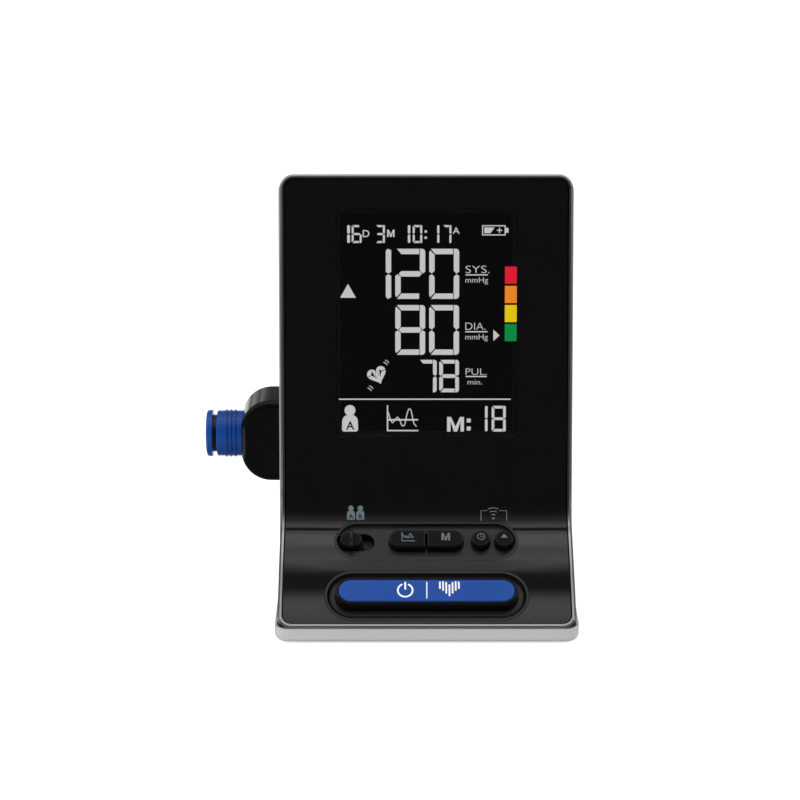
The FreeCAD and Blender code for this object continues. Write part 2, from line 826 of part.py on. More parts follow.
def ring_outline(inner, outer, low, high):
    return [(inner, low), (outer, low), (outer, high), (inner, high)]


def four(x, y, radius):
    """Four circles, mirrored left to right and up to down."""
    return [(side * x, end * y, radius) for side in (-1, 1) for end in (-1, 1)]


# ---------------------------------------------------------------- front shells


def curved_sheet(label, width, front, back, inset, corner):
    """A sheet along the front curve with four round corners."""
    piece = Piece(label)
    piece.pad(piece.sketch(band(front, back, inset), plane="YZ"), width, both=True)
    lip = [on_deck(depth, lip_end_slope(inset)) for depth in (front, back)]
    top = [at_top(depth, inset) for depth in (front, back)]
    ends = [((a[0] + b[0]) / 2, (a[1] + b[1]) / 2) for a, b in (lip, top)]

    def at_corner(middle, edge):
        on_side = near(abs(middle.x), width / 2)
        return on_side and any(near(middle.y, y) and near(middle.z, z) for y, z in ends)

    return piece.round_edges(corner, at_corner)


def depth_of(point):
    """How far a point lies behind the front curve."""
    y, z = point.y, point.z
    slope = math.degrees(math.atan2(y - bend_y.value, bend_z.value - z))
    if slope > panel_tilt.value:
        lean = math.radians(panel_lean.value)
        return (y - top_y.value) * math.cos(lean) - (z - top_height.value) * math.sin(lean)
    if slope > valley_slope.value:
        return math.hypot(y - bend_y.value, z - bend_z.value) - bend_radius.value
    return deck_radius.value - math.hypot(y - deck_y.value, z - deck_z.value)


def trim_frame():
    """The dark chrome frame around the panel, bevelled along its outer edge."""
    outer = curved_sheet("trim_outside", trim_width, -trim_proud, trim_depth, 0, trim_corner)
    ends = (at_top(-trim_proud, 0)[1], on_deck(-trim_proud, lip_slope)[1])

    def on_rim(middle, edge):
        crosswise = near(middle.x, 0)
        at_end = any(near(middle.z, z) for z in ends)
        return near(depth_of(middle), -trim_proud) and (at_end or not crosswise)

    outer.bevel_edges(trim_bevel, on_rim)
    inside = trim_width - 2 * trim_edge
    inner = curved_sheet(
        "trim_inside", inside, -trim_proud - 1, trim_depth + 1, trim_edge, trim_corner - trim_edge
    )
    return without("trim_frame", outer.body, inner.body)


def front_panel():
    """The gloss black face, from the lip to the top, with openings for window and keys."""
    width = trim_width - 2 * face_inset
    corner = trim_corner - face_inset
    panel = curved_sheet("front_panel", width, 0, panel_thick, face_inset, corner)
    window = rounded(window_width, window_height, window_corner)
    panel.pocket(panel_sketch(panel, window, lift=1), panel_thick + 2)
    tray = stadium(tray_length, tray_width, 0, row_up)
    bezel = stadium(bezel_length, bezel_width, 0, bezel_at)
    panel.pocket(key_sketch(panel, tray, bezel, lift=4), panel_thick + 8)
    return panel.body


def front_housing():
    """The black shell behind the panel: a curved wall, side walls, posts and screw bosses."""
    housing = Piece("front_housing")
    deck, bend = (deck_y, deck_z), (bend_y, bend_z)
    rim = trim_depth + slip / 3
    reach, drop = deck_radius - rim, rim_height - deck_z
    top_inset = trim_edge / 3
    wedge = [
        (deck_y - root(reach * reach - drop * drop), rim_height, deck, -1),
        (*on_deck(rim, valley_slope), bend, 1),
        on_bend(rim, panel_tilt),
        at_top(rim, top_inset),
        at_top(split_depth, top_inset),
        (split_base_y, rim_height),
    ]
    housing.pad(housing.sketch(wedge, plane="YZ"), shell_width, both=True)
    ends = [at_top(depth, top_inset) for depth in (rim, split_depth)]
    middle_y, middle_z = ((a + b) / 2 for a, b in zip(*ends))
    housing.round_edges(
        trim_corner - top_inset, lambda m, e: near(m.y, middle_y) and near(m.z, middle_z)
        and near(abs(m.x), shell_width / 2)
    )
    face = band(panel_thick, panel_back, step_inset)
    housing.pad(housing.sketch(face, plane="YZ"), trim_width - 2 * step_inset, both=True)
    lip = lip_end_slope(2 * front_wall)
    lip_point = on_deck(panel_back, lip)
    cavity = [
        (*lip_point, deck, -1),
        (*on_deck(panel_back, valley_slope), bend, 1),
        on_bend(panel_back, panel_tilt),
        at_top(panel_back, top_inset + front_wall),
        at_top(split_depth + 4, top_inset + front_wall),
        (split_base_y + 4, rim_height - 4),
        (lip_point[0], rim_height - 4),
    ]
    cavity_width = shell_width - 2 * front_wall
    housing.pocket(housing.sketch(cavity, plane="YZ"), cavity_width, both=True)
    ledge = 2 * window_ledge
    glass = rounded(window_width - ledge, window_height - ledge, window_corner)
    housing.pocket(panel_sketch(housing, glass), panel_back + 1)
    tray = stadium(tray_length, tray_width, 0, row_up)
    bezel = stadium(bezel_length, bezel_width, 0, bezel_at)
    housing.pocket(key_sketch(housing, tray, bezel, lift=4), panel_back + 6)
    return housing


def front_posts(housing):
    """Posts for the two boards and bosses for the base and shell screws, all drilled."""
    over = panel_back - front_wall / 4
    pilot = screw_radius + slip / 3
    low, high = key_post_places(post_side, -1), key_post_places(post_side, 1)
    housing.pad(key_sketch(housing, *low, lift=-board_deep), board_deep - over)
    housing.pad(key_sketch(housing, *high, lift=-board_deep), board_deep - over - 1)
    holes = key_post_places(pilot, -1) + key_post_places(pilot, 1)
    drilled = board_screw - board_thick + stop_gap
    housing.pocket(key_sketch(housing, *holes, lift=-board_deep), drilled, back=True)
    posts = four(main_post_x, main_post_y, post_side)
    housing.pad(panel_sketch(housing, *posts, lift=-frame_back), frame_back - over)
    holes = four(main_post_x, main_post_y, pilot)
    drilled = board_screw - main_thick + stop_gap
    housing.pocket(panel_sketch(housing, *holes, lift=-frame_back), drilled, back=True)
    seats = [(side * base_screw_x, -base_screw_front, boss_radius) for side in (-1, 1)]
    housing.pad(housing.sketch(*seats, lift=boss_low), 12)
    holes = [(x, y, pilot) for x, y, _ in seats]
    housing.pocket(housing.sketch(*holes, lift=boss_low), base_drilled, back=True)
    posts = shell_screw_places(boss_radius - 0.4)
    sketch = housing.sketch(*posts, plane="XZ", lift=-shell_seat_y)
    housing.pad(sketch, shell_post + front_wall / 2)
    sketch = housing.sketch(*shell_screw_places(pilot), plane="XZ", lift=-shell_seat_y)
    housing.pocket(sketch, shell_screw - head_thick + stop_gap, back=True)
    return housing


def key_post_places(radius, end):
    """The key board's lower posts for end -1 and its upper ones for end 1."""
    up = key_post_high if end > 0 else -key_post_low
    return [(side * key_post_x, up, radius) for side in (-1, 1)]


def shell_screw_places(radius):
    return [(side * shell_screw_x, shell_screw_z, radius) for side in (-1, 1)]


# ---------------------------------------------------------------- rear housing and base


def rear_outside():
    """The rear housing's side view."""
    return [
        (split_base_y, rim_height),
        (back_y, rim_height),
        (back_y, roof_z, (roof_y, roof_z), 1),
        (roof_y + roof_round * sine(roof_slope), roof_z + roof_round * cosine(roof_slope)),
        (crest_y, crest_z),
    ]


def rear_hollow():
    """The hollow inside it, which runs out through its front and its underside."""
    radius = roof_round - rear_wall
    rise = overrun * tangent(roof_slope) - rear_wall / cosine(roof_slope)
    return [
        (split_base_y - 2 * overrun, rim_height - overrun),
        (inner_y, rim_height - overrun),
        (inner_y, roof_z, (roof_y, roof_z), 1),
        (roof_y + radius * sine(roof_slope), roof_z + radius * cosine(roof_slope)),
        (crest_y - overrun, crest_z + rise),
    ]


def rear_housing():
    """The silver housing: open to the front and below, with the battery opening behind."""
    housing = Piece("rear_housing")
    housing.pad(housing.sketch(rear_outside(), plane="YZ"), rear_width, both=True)

    def side_edge(middle, edge):
        outside = middle.z > rim_height.value + 1 and near(abs(middle.x), side_x)
        lean_line = split_y.value + (middle.z - foot_z.value) * math.tan(
            math.radians(panel_lean.value)
        )
        return outside and middle.y > lean_line + 1

    housing.round_edges(side_round, side_edge)
    housing.pocket(housing.sketch(rear_hollow(), plane="YZ"), 2 * inner_x, both=True)
    opening = rectangle(door_width, door_high - door_low, 0, (door_low + door_high) / 2)
    sketch = housing.sketch(opening, plane="XZ", lift=-back_y - 1)
    housing.pocket(sketch, rear_wall + 2, back=True)
    pins = housing.sketch((hinge_y, hinge_z, door_pin + slip), plane="YZ")
    housing.pocket(pins, door_width + 2 * (pin_length + slip), both=True)
    jack = housing.sketch((jack_x, jack_z, jack_collar + slip), plane="XZ", lift=-back_y - 1)
    housing.pocket(jack, rear_wall + 2, back=True)
    hose = housing.sketch((port_y, port_z, tail_radius + slip), plane="YZ", lift=-side_x - 1)
    housing.pocket(hose, rear_wall + 2, back=True)
    wells = shell_screw_places(boss_radius)
    well = housing.sketch(*wells, plane="XZ", lift=-back_y + rear_wall / 2)
    housing.pad(well, back_y - rear_wall / 2 - shell_seat_y)
    bores = [(x, z, screw_head + slip) for x, z, _ in wells]
    bore = housing.sketch(*bores, plane="XZ", lift=-back_y - 1)
    housing.pocket(bore, back_y + 1 - shell_seat_y - head_thick, back=True)
    holes = [(x, z, screw_radius + slip) for x, z, _ in wells]
    hole = housing.sketch(*holes, plane="XZ", lift=-back_y - 1)
    housing.pocket(hole, back_y + 2 - shell_seat_y, back=True)
    for side in (-1, 1):
        boss = (side * base_screw_x, base_screw_rear, boss_radius)
        housing.pad(housing.sketch(boss, lift=boss_low), 8)
        hole = (side * base_screw_x, base_screw_rear, screw_radius + slip / 3)
        housing.pocket(housing.sketch(hole, lift=boss_low), base_drilled, back=True)
        web_middle = side * (base_screw_x + boss_radius + inner_x) / 2
        web = rectangle(inner_x - base_screw_x - boss_radius + 2, 1.4, web_middle, base_screw_rear)
        housing.pad(housing.sketch(web, lift=rim_height), 6)
    shelf = rectangle(13, 12, -inner_x + 6, port_y - 2)
    shelf_top = port_z - manifold_size / 2
    housing.pad(housing.sketch(shelf, lift=shelf_top - 1.5), 1.5)
    return housing.body


def base_screw_places(radius):
    front = [(side * base_screw_x, -base_screw_front, radius) for side in (-1, 1)]
    rear = [(side * base_screw_x, base_screw_rear, radius) for side in (-1, 1)]
    return front + rear


def feet_places(radius):
    front = [(side * foot_x, -foot_front, radius) for side in (-1, 1)]
    rear = [(side * foot_x, foot_rear, radius) for side in (-1, 1)]
    return front + rear


def base_plate():
    """The silver base: a shallow tub with feet recesses, screw seats and the pump cradle."""
    base = Piece("base_plate")
    plan = rounded(base_width, base_depth, base_corner)
    base.pad(base.sketch(plan, lift=foot_height), rim_height - foot_height)
    base.round_edges(base_edge, lambda middle, edge: near(middle.z, foot_height))
    for edge, bottom in ((base_rim, rim_height - ledge_drop), (base_rim + ledge_width, floor_top)):
        plan = rounded(base_width - 2 * edge, base_depth - 2 * edge, base_corner - edge)
        base.pocket(base.sketch(plan, lift=rim_height + 1), rim_height + 1 - bottom)
    base.pad(base.sketch(*base_screw_places(boss_radius + 0.8), lift=floor_top - 1), 2.6)
    heads = base.sketch(*base_screw_places(screw_head + slip), lift=foot_height)
    base.pocket(heads, head_thick + 0.5, back=True)
    shanks = base.sketch(*base_screw_places(screw_radius + slip), lift=foot_height)
    base.pocket(shanks, base_floor + 3, back=True)
    feet = base.sketch(*feet_places(foot_radius + slip), lift=foot_height)
    base.pocket(feet, foot_sink, back=True)
    outer = pump_radius + sleeve_wall + slip / 3
    for x in sleeve_middles():
        rib = rectangle(2.4, 2 * outer - 3, x, tube_y)
        base.pad(base.sketch(rib, lift=floor_top - 0.5), pump_z - 5.5 - floor_top + 0.5)
    seat = base.sketch((tube_y, pump_z, outer), plane="YZ")
    base.pocket(seat, 4 * pump_left, both=True)
    return base.body


def sleeve_middles():
    """Where the two rubber sleeves sit along the pump."""
    head = -pump_left + head_length / 2
    motor = -pump_left + head_length + motor_length / 2
    return head, motor


def rubber_feet():
    feet = Piece("rubber_feet")
    feet.pad(feet.sketch(*feet_places(foot_radius)), foot_height + foot_sink)
    return feet.bevel_edges(0.25, lambda middle, edge: near(middle.z, 0)).body


def screw_group(label, piece, circles, seat, length):
    """Screws with a round head below the seat and a shank above it, along the piece's z."""
    heads = [(x, y, screw_head) for x, y, _ in circles]
    shanks = [(x, y, screw_radius) for x, y, _ in circles]
    drives = [(x, y, drive_radius) for x, y, _ in circles]
    piece.pad(piece.sketch(*heads, lift=seat - head_thick), head_thick)
    piece.pad(piece.sketch(*shanks, lift=seat), length)
    piece.pocket(piece.sketch(*drives, lift=seat - head_thick), head_thick / 2, back=True)
    return piece.body


def screws():
    """All the screws, one group for each place."""
    made = {}
    made["base_screws"] = screw_group(
        "base_screws", Piece("base_screws"), base_screw_places(0), base_seat, base_screw
    )
    shell = shell_screw_places(0)
    frame = Piece("shell_screws", y=shell_seat_y + head_thick, tilt=90)
    made["shell_screws"] = screw_group("shell_screws", frame, shell, 0, shell_screw)
    board = four(main_post_x, main_post_y, 0)
    made["main_board_screws"] = screw_group(
        "main_board_screws", on_panel("main_board_screws"), board, -main_back, board_screw
    )
    keys = key_post_places(0, -1) + key_post_places(0, 1)
    seat = -board_deep - board_thick
    made["key_board_screws"] = screw_group(
        "key_board_screws", on_keys("key_board_screws"), keys, seat, board_screw
    )
    return made


# ---------------------------------------------------------------- display and main board


def display_parts():
    """Window, liquid crystal cell, backlight, frame, main board and what sits on the board."""
    made = {}
    window = on_panel("display_window")
    width, height = window_width - 2 * slip, window_height - 2 * slip
    plan = rounded(width, height, window_corner - slip)
    window.pad(window.sketch(plan, lift=-window_sink - window_thick), window_thick)
    made["display_window"] = window.body

    ledge = 2 * (window_ledge + slip)
    glass = on_panel("display_glass")
    plan = rounded(window_width - ledge, window_height - ledge, window_corner - slip)
    glass.pad(glass.sketch(plan, lift=-glass_front - glass_thick), glass_thick)
    made["display_glass"] = glass.body

    light = on_panel("backlight")
    plan = rectangle(window_width, window_height)
    light.pad(light.sketch(plan, lift=-light_front - light_thick), light_thick)
    made["backlight"] = light.body

    frame = on_panel("display_frame")
    inside = rectangle(window_width + 2 * slip, window_height + 2 * slip)
    wide, high = window_width + 2 * (frame_edge + slip), window_height + 2 * (frame_edge + slip)
    frame.pad(frame.sketch(rectangle(wide, high), inside, lift=-frame_back), frame_back - panel_back)
    made["display_frame"] = frame.body

    board = on_panel("main_board")
    holes = four(main_post_x, main_post_y, screw_radius + slip)
    plan = rounded(main_width, main_height, main_round)
    board.pad(board.sketch(plan, *holes, lift=-main_back), main_thick)
    made["main_board"] = board.body

    for label, right, up, wide, high, thick in (
        ("processor", processor_x, processor_up, processor_side, processor_side, processor_thick),
        ("radio_module", radio_x, radio_up, radio_width, radio_height, radio_thick),
        ("memory_chip", -memory_x, memory_up, memory_width, memory_height, memory_thick),
    ):
        chip = on_panel(label)
        chip.pad(chip.sketch(rectangle(wide, high, right, up), lift=-main_back - thick), thick)
        made[label] = chip.body

    caps = on_panel("capacitors")
    row = [capacitor_x + number * capacitor_pitch for number in (-1, 0, 1)]
    places = [(x, -capacitor_down, capacitor_radius) for x in row]
    caps.pad(caps.sketch(*places, lift=-main_back - capacitor_height), capacitor_height)
    made["capacitors"] = caps.body

    buzzer = on_panel("buzzer")
    lift = -main_back - buzzer_height
    can = buzzer.sketch((-buzzer_x, buzzer_up, buzzer_radius), lift=lift)
    buzzer.pad(can, buzzer_height)
    hole = buzzer.sketch((-buzzer_x, buzzer_up, buzzer_hole), lift=lift)
    buzzer.pocket(hole, buzzer_height / 2, back=True)
    made["buzzer"] = buzzer.body

    sensor = Piece("pressure_sensor", y=tube_y, z=sensor_z, tilt=panel_tilt)
    plan = rectangle(sensor_size, sensor_size, -manifold_x + tube_bend + sensor_size / 2 + 2)
    sensor.pad(sensor.sketch(plan), 2 * sensor_axis, both=True)
    root_x = -manifold_x + tube_bend + 2
    barb = sensor.sketch((0, 0, barb_radius), plane="YZ", lift=root_x)
    sensor.pad(barb, barb_length, back=True)
    made["pressure_sensor"] = sensor.body
    return made


def flat_cable():
    """The flat cable from the key board up to the main board."""
    cable = Piece("flat_cable")
    low, high = board_high - cable_lap, board_high + 1
    end = -main_height / 2

    def side(thick):
        return [
            key_point(low, board_deep + board_thick + thick),
            key_point(high + thick, board_deep + board_thick + cable_lift + thick),
            panel_point(end - 2 + thick, main_back + cable_lift + thick),
            panel_point(end + cable_lap, main_back + thick),
        ]

    outline = side(sized(0)) + side(cable_thick)[::-1]
    cable.pad(cable.sketch(outline, plane="YZ"), cable_width, both=True)
    return cable.body


# ---------------------------------------------------------------- keys


def well(label, outline, hollow, openings, under, floor, rounding):
    """A recess in the deck: a rim flush with the panel, a floor, and holes for its keys."""
    piece = Piece(label)
    piece.pad(key_sketch(piece, outline, lift=-under), under + 6)
    piece.pocket(piece.sketch(open_air(), plane="YZ"), 2 * bezel_length, both=True)
    floor_depth = under - floor
    piece.pocket(key_sketch(piece, hollow, lift=-floor_depth), 12, back=True)
    sin_slope, cos_slope = sine(key_slope).value, cosine(key_slope).value

    def inner_edge(middle, edge):
        rise = (middle.z - plane_z.value) * cos_slope - (middle.y - plane_y.value) * sin_slope
        return near(rise, -floor_depth)

    piece.round_edges(rounding, inner_edge)
    piece.pocket(key_sketch(piece, *openings, lift=-floor_depth + 3), under + 6)
    return piece.body


def key_tray():
    """The recess of the key row, with a slot for the user switch and holes for the keys."""
    rim = 2 * tray_rim
    outline = stadium(tray_length - 2 * slip, tray_width - 2 * slip, 0, row_up)
    hollow = stadium(tray_length - 2 * slip - rim, tray_width - 2 * slip - rim, 0, row_up)
    openings = [
        stadium(pair_length + 2 * key_gap, pair_width + 2 * key_gap, 0, key_row),
        stadium(slot_length, slot_width, -slot_at, key_row),
        (clock_at, key_row, round_key + key_gap),
        (up_at, key_row, round_key + key_gap),
    ]
    return well("key_tray", outline, hollow, openings, tray_under, tray_floor, key_edge)


def start_bezel():
    """The dished ring around the start key."""
    rim = 2 * bezel_rim
    outline = stadium(bezel_length - 2 * slip, bezel_width - 2 * slip, 0, bezel_at)
    hollow = stadium(bezel_length - 2 * slip - rim, bezel_width - 2 * slip - rim, 0, bezel_at)
    opening = stadium(start_length + 2 * key_gap, start_width + 2 * key_gap, 0, -start_down)
    return well(
        "start_bezel", outline, hollow, [opening], bezel_under, bezel_floor, bezel_round
    )


def key_body(label, outline, flange, top, under, posts, post_depth, rounding):
    """A key: a cap with a rounded top, a flange under the recess floor, and posts below."""
    key = on_keys(label)
    flange_top = under + stop_gap
    root_depth = flange_top + flange_thick
    key.pad(key.sketch(outline, lift=-root_depth), root_depth + top)
    key.round_edges(rounding, lambda middle, edge: near(middle.z, top))
    key.pad(key.sketch(flange, lift=-root_depth), flange_thick)
    key.pad(key.sketch(*posts, lift=-post_depth), post_depth - root_depth + 0.3)
    return key


def keys():
    """The start key with its blue inlay, the four small keys and the user switch's knob."""
    made = {}
    grow = 2 * key_flange
    start_post = switch_top - start_travel - stop_gap
    posts = [(sized(x) * start_posts, -start_down, post_radius) for x in (-1, 1)]
    start = key_body(
        "start_button",
        stadium(start_length, start_width, 0, -start_down),
        stadium(start_length + grow, start_width + grow, 0, -start_down),
        start_rise,
        bezel_under,
        posts,
        start_post,
        start_edge,
    )
    blue_length, blue_width = start_length - 2 * inlay_edge, start_width - 2 * inlay_edge
    seat = stadium(blue_length, blue_width, 0, -start_down)
    start.pocket(start.sketch(seat, lift=start_rise), inlay_thick)
    made["start_button"] = start.body

    inlay = on_keys("start_inlay")
    blue = stadium(blue_length - slip, blue_width - slip, 0, -start_down)
    inlay.pad(inlay.sketch(blue, lift=start_rise - inlay_thick), inlay_thick + inlay_proud)
    inlay.round_edges(0.4, lambda middle, edge: near(middle.z, start_rise + inlay_proud))
    made["start_inlay"] = inlay.body

    small_post = switch_top - key_travel - stop_gap
    pairs = (("graph_button", -1), ("memory_button", 1))
    for label, side in pairs:
        face = half_stadium(pair_length, pair_width, pair_split, side, key_row)
        flange = half_stadium(pair_length + grow, pair_width + grow, pair_split, side, key_row)
        post = [(side * (pair_length / 4), key_row, post_radius)]
        key = key_body(label, face, flange, key_top, tray_under, post, small_post, key_edge)
        made[label] = key.body
    for label, x in (("clock_button", clock_at), ("up_button", up_at)):
        face, flange = (x, key_row, round_key), (x, key_row, round_key + key_flange - 0.35)
        post = [(x, key_row, post_radius)]
        key = key_body(label, face, flange, key_top, tray_under, post, small_post, key_edge)
        made[label] = key.body
    made["user_knob"] = user_knob()
    return made


def user_knob():
    """The user switch's knob: a cap with a cross ridge, a neck, a foot and a tongue."""
    knob = on_keys("user_knob")
    cap_width = slot_width - 2 * knob_margin
    cap_top = key_top - knob_low
    cap = stadium(knob_length, cap_width, knob_at, key_row)
    root_depth = tray_under + stop_gap + flange_thick
    knob.pad(knob.sketch(cap, lift=-root_depth), root_depth + cap_top)
    knob.round_edges(key_edge, lambda middle, edge: near(middle.z, cap_top))
    ridge = rectangle(ridge_width, cap_width - 1, knob_at, key_row)
    knob.pad(knob.sketch(ridge, lift=cap_top - 0.2), ridge_rise + 0.2)
    foot = stadium(knob_length + 1, slot_width + 1.4, knob_at, key_row)
    knob.pad(knob.sketch(foot, lift=-root_depth), flange_thick)
    tongue = rectangle(tongue_side, tongue_side, knob_at, key_row)
    knob.pad(knob.sketch(tongue, lift=-switch_top - 0.9), switch_top + 0.9 - root_depth + 0.3)
    return knob.body


def key_board_parts():
    """The key board with its dome switches and the slide switch."""
    made = {}
    board = on_keys("key_board")
    high = board_high + board_low
    middle = (board_high - board_low) / 2
    holes = key_post_places(screw_radius + slip, -1) + key_post_places(screw_radius + slip, 1)
    plan = rounded(board_width, high, main_round, 0, middle)
    board.pad(board.sketch(plan, *holes, lift=-board_deep - board_thick), board_thick)
    made["key_board"] = board.body

    places = [(side * start_posts, -start_down) for side in (-1, 1)]
    places += [(side * (pair_length / 4), key_row) for side in (-1, 1)]
    places += [(clock_at, key_row), (up_at, key_row)]
    cans = on_keys("dome_switches")
    squares = [rectangle(switch_size, switch_size, x, y) for x, y in places]
    cans.pad(cans.sketch(*squares, lift=-board_deep), switch_height - 0.3)
    domes = [(x, y, dome_radius) for x, y in places]
    cans.pad(cans.sketch(*domes, lift=-switch_top - 0.3), 0.3)
    made["dome_switches"] = cans.body

    slide = on_keys("slide_switch")
    body = rectangle(slot_length - 1, 5, -slot_at, key_row)
    slot = rectangle(knob_travel + 1.8 + 0.8, 1.8 + 0.6, -slot_at, key_row)
    slide.pad(slide.sketch(body, slot, lift=-board_deep), switch_height)
    made["slide_switch"] = slide.body
    return made


# ---------------------------------------------------------------- air system


def pump_parts():
    """The pump head and its motor in two rubber sleeves, along X."""
    made = {}
    head = Piece("pump_head", y=tube_y, z=pump_z)
    head_right = -pump_left + head_length
    head.pad(head.sketch((0, 0, pump_radius), plane="YZ", lift=-pump_left), head_length)
    head.pad(
        head.sketch((0, 0, barb_radius), plane="YZ", lift=-pump_left), barb_length, back=True
    )
    made["pump_head"] = head.body
    motor = Piece("pump_motor", y=tube_y, z=pump_z)
    motor.pad(motor.sketch((0, 0, pump_radius), plane="YZ", lift=head_right), motor_length)
    end = head_right + motor_length
    motor.round_edges(1.2, lambda middle, edge: near(middle.x, end))
    motor.pad(motor.sketch((0, 0, sized(3)), plane="YZ", lift=end - 0.2), 1.4)
    made["pump_motor"] = motor.body
    sleeves = Piece("pump_sleeves", y=tube_y, z=pump_z)
    inner, outer = pump_radius + slip / 3, pump_radius + sleeve_wall
    for x in sleeve_middles():
        ring = sleeves.sketch((0, 0, outer), (0, 0, inner), plane="YZ", lift=x - sleeve_width / 2)
        sleeves.pad(ring, sleeve_width)
    made["pump_sleeves"] = sleeves.body
    return made


def manifold_and_valve():
    """The air manifold on its shelf and the release valve on top of it."""
    manifold = Piece("air_manifold", x=-manifold_x)
    length = manifold_back - manifold_front
    low, high = port_z - manifold_size / 2, port_z + manifold_size / 2
    plan = rectangle(manifold_size, length, 0, (manifold_back + manifold_front) / 2)
    manifold.pad(manifold.sketch(plan, lift=low), manifold_size)
    manifold.pad(manifold.sketch((0, tube_y, barb_radius), lift=low), barb_length, back=True)
    manifold.pad(manifold.sketch((0, tube_y, barb_radius), lift=high), barb_length)
    seat = manifold.sketch((port_y, port_z, tail_radius + slip / 3), plane="YZ",
                           lift=-manifold_size / 2 - 1)
    manifold.pocket(seat, tail_seat + 1, back=True)
    drilling = manifold.sketch((port_y, port_z, tail_bore), plane="YZ", lift=-manifold_size / 2)
    manifold.pocket(drilling, manifold_size / 2, back=True)
    made = {"air_manifold": manifold.body}

    valve = Piece("release_valve", x=-manifold_x)
    middle = tube_y + tube_radius + 1 + valve_width / 2
    valve.pad(valve.sketch(rectangle(valve_width, valve_width, 0, middle), lift=high), valve_height)
    coil = valve.sketch((0, middle, valve_width / 2 - 1), lift=high + valve_height - 0.5)
    valve.pad(coil, 2.5)
    made["release_valve"] = valve.body
    return made


def soft_tube(label, x, z, down, bend, run):
    """A soft tube that leaves upright from x and z, bends towards +X and runs on."""
    tube = Piece(label, x=x, y=tube_y, z=z)
    sign = -1 if down else 1
    turn = sized(bend)
    far = run[0]
    end = run[1]
    path = tube.body.newObject("Sketcher::SketchObject", "Path")
    support = [f for f in tube.body.Origin.OriginFeatures if f.Role == "XZ_Plane"]
    path.AttachmentSupport = [(support[0], "")]
    path.MapMode = "FlatFace"
    corner = sign * (end - turn)
    level = sign * end
    draw_open(path, [(0, 0), (0, corner, (turn, corner), -sign), (turn, level), (far, level)])
    profile = tube.sketch((0, 0, tube_radius), (0, 0, tube_bore))
    pipe = tube.body.newObject("PartDesign::AdditivePipe", "Pipe")
    pipe.Profile = profile
    pipe.Spine = (path, [f"Edge{n}" for n in (1, 2, 3)])
    DOC.recompute()
    tube.tip = pipe
    return tube.body


def draw_open(sketch, corners):
    """Draws a path. Its corners are held in place, and each arc by its centre."""
    last = None
    for number, (corner, after) in enumerate(zip(corners, corners[1:])):
        start = VECTOR(sized(corner[0]).value, sized(corner[1]).value, 0)
        end = VECTOR(sized(after[0]).value, sized(after[1]).value, 0)
        if len(corner) == 2:
            geometry, first, final = sketch.addGeometry(Part.LineSegment(start, end), False), 1, 2
        else:
            geometry, first, final = draw_arc(sketch, corner, start, end)
        if last is not None:
            sketch.addConstraint(Sketcher.Constraint("Coincident", *last, geometry, first))
        fix_point(sketch, geometry, first, corner[0], corner[1])
        if len(corner) > 2:
            hold_centre(sketch, geometry, corner, after)
        last = (geometry, final)
    fix_point(sketch, *last, corners[-1][0], corners[-1][1])


# ---------------------------------------------------------------- hose socket


def port_housing():
    """The black D-shaped housing on the left side that carries the hose socket."""
    boss = Piece("port_housing", y=port_y, z=port_z)
    half = boss_height / 2
    near_left, left = -boss_face + boss_round, -boss_face
    right = -side_x - slip / 3
    outline = [
        (near_left, -half),
        (right, -half),
        (right, half),
        (near_left, half, (near_left, half - boss_round), 1),
        (left, half - boss_round),
        (left, -half + boss_round, (near_left, -half + boss_round), 1),
    ]
    boss.pad(boss.sketch(outline, plane="XZ"), boss_depth, both=True)
    boss.round_edges(
        boss_edge,
        lambda middle, edge: near(abs(middle.y), boss_depth / 2) and middle.x < right.value - 0.1,
    )
    seat = boss.sketch((0, 0, body_radius + slip / 3), plane="YZ", lift=-boss_face - 1)
    boss.pocket(seat, body_in + 1, back=True)
    tail = boss.sketch((0, 0, tail_radius + slip), plane="YZ", lift=-body_root - 1)
    boss.pocket(tail, body_root - side_x + 3, back=True)
    return boss.body


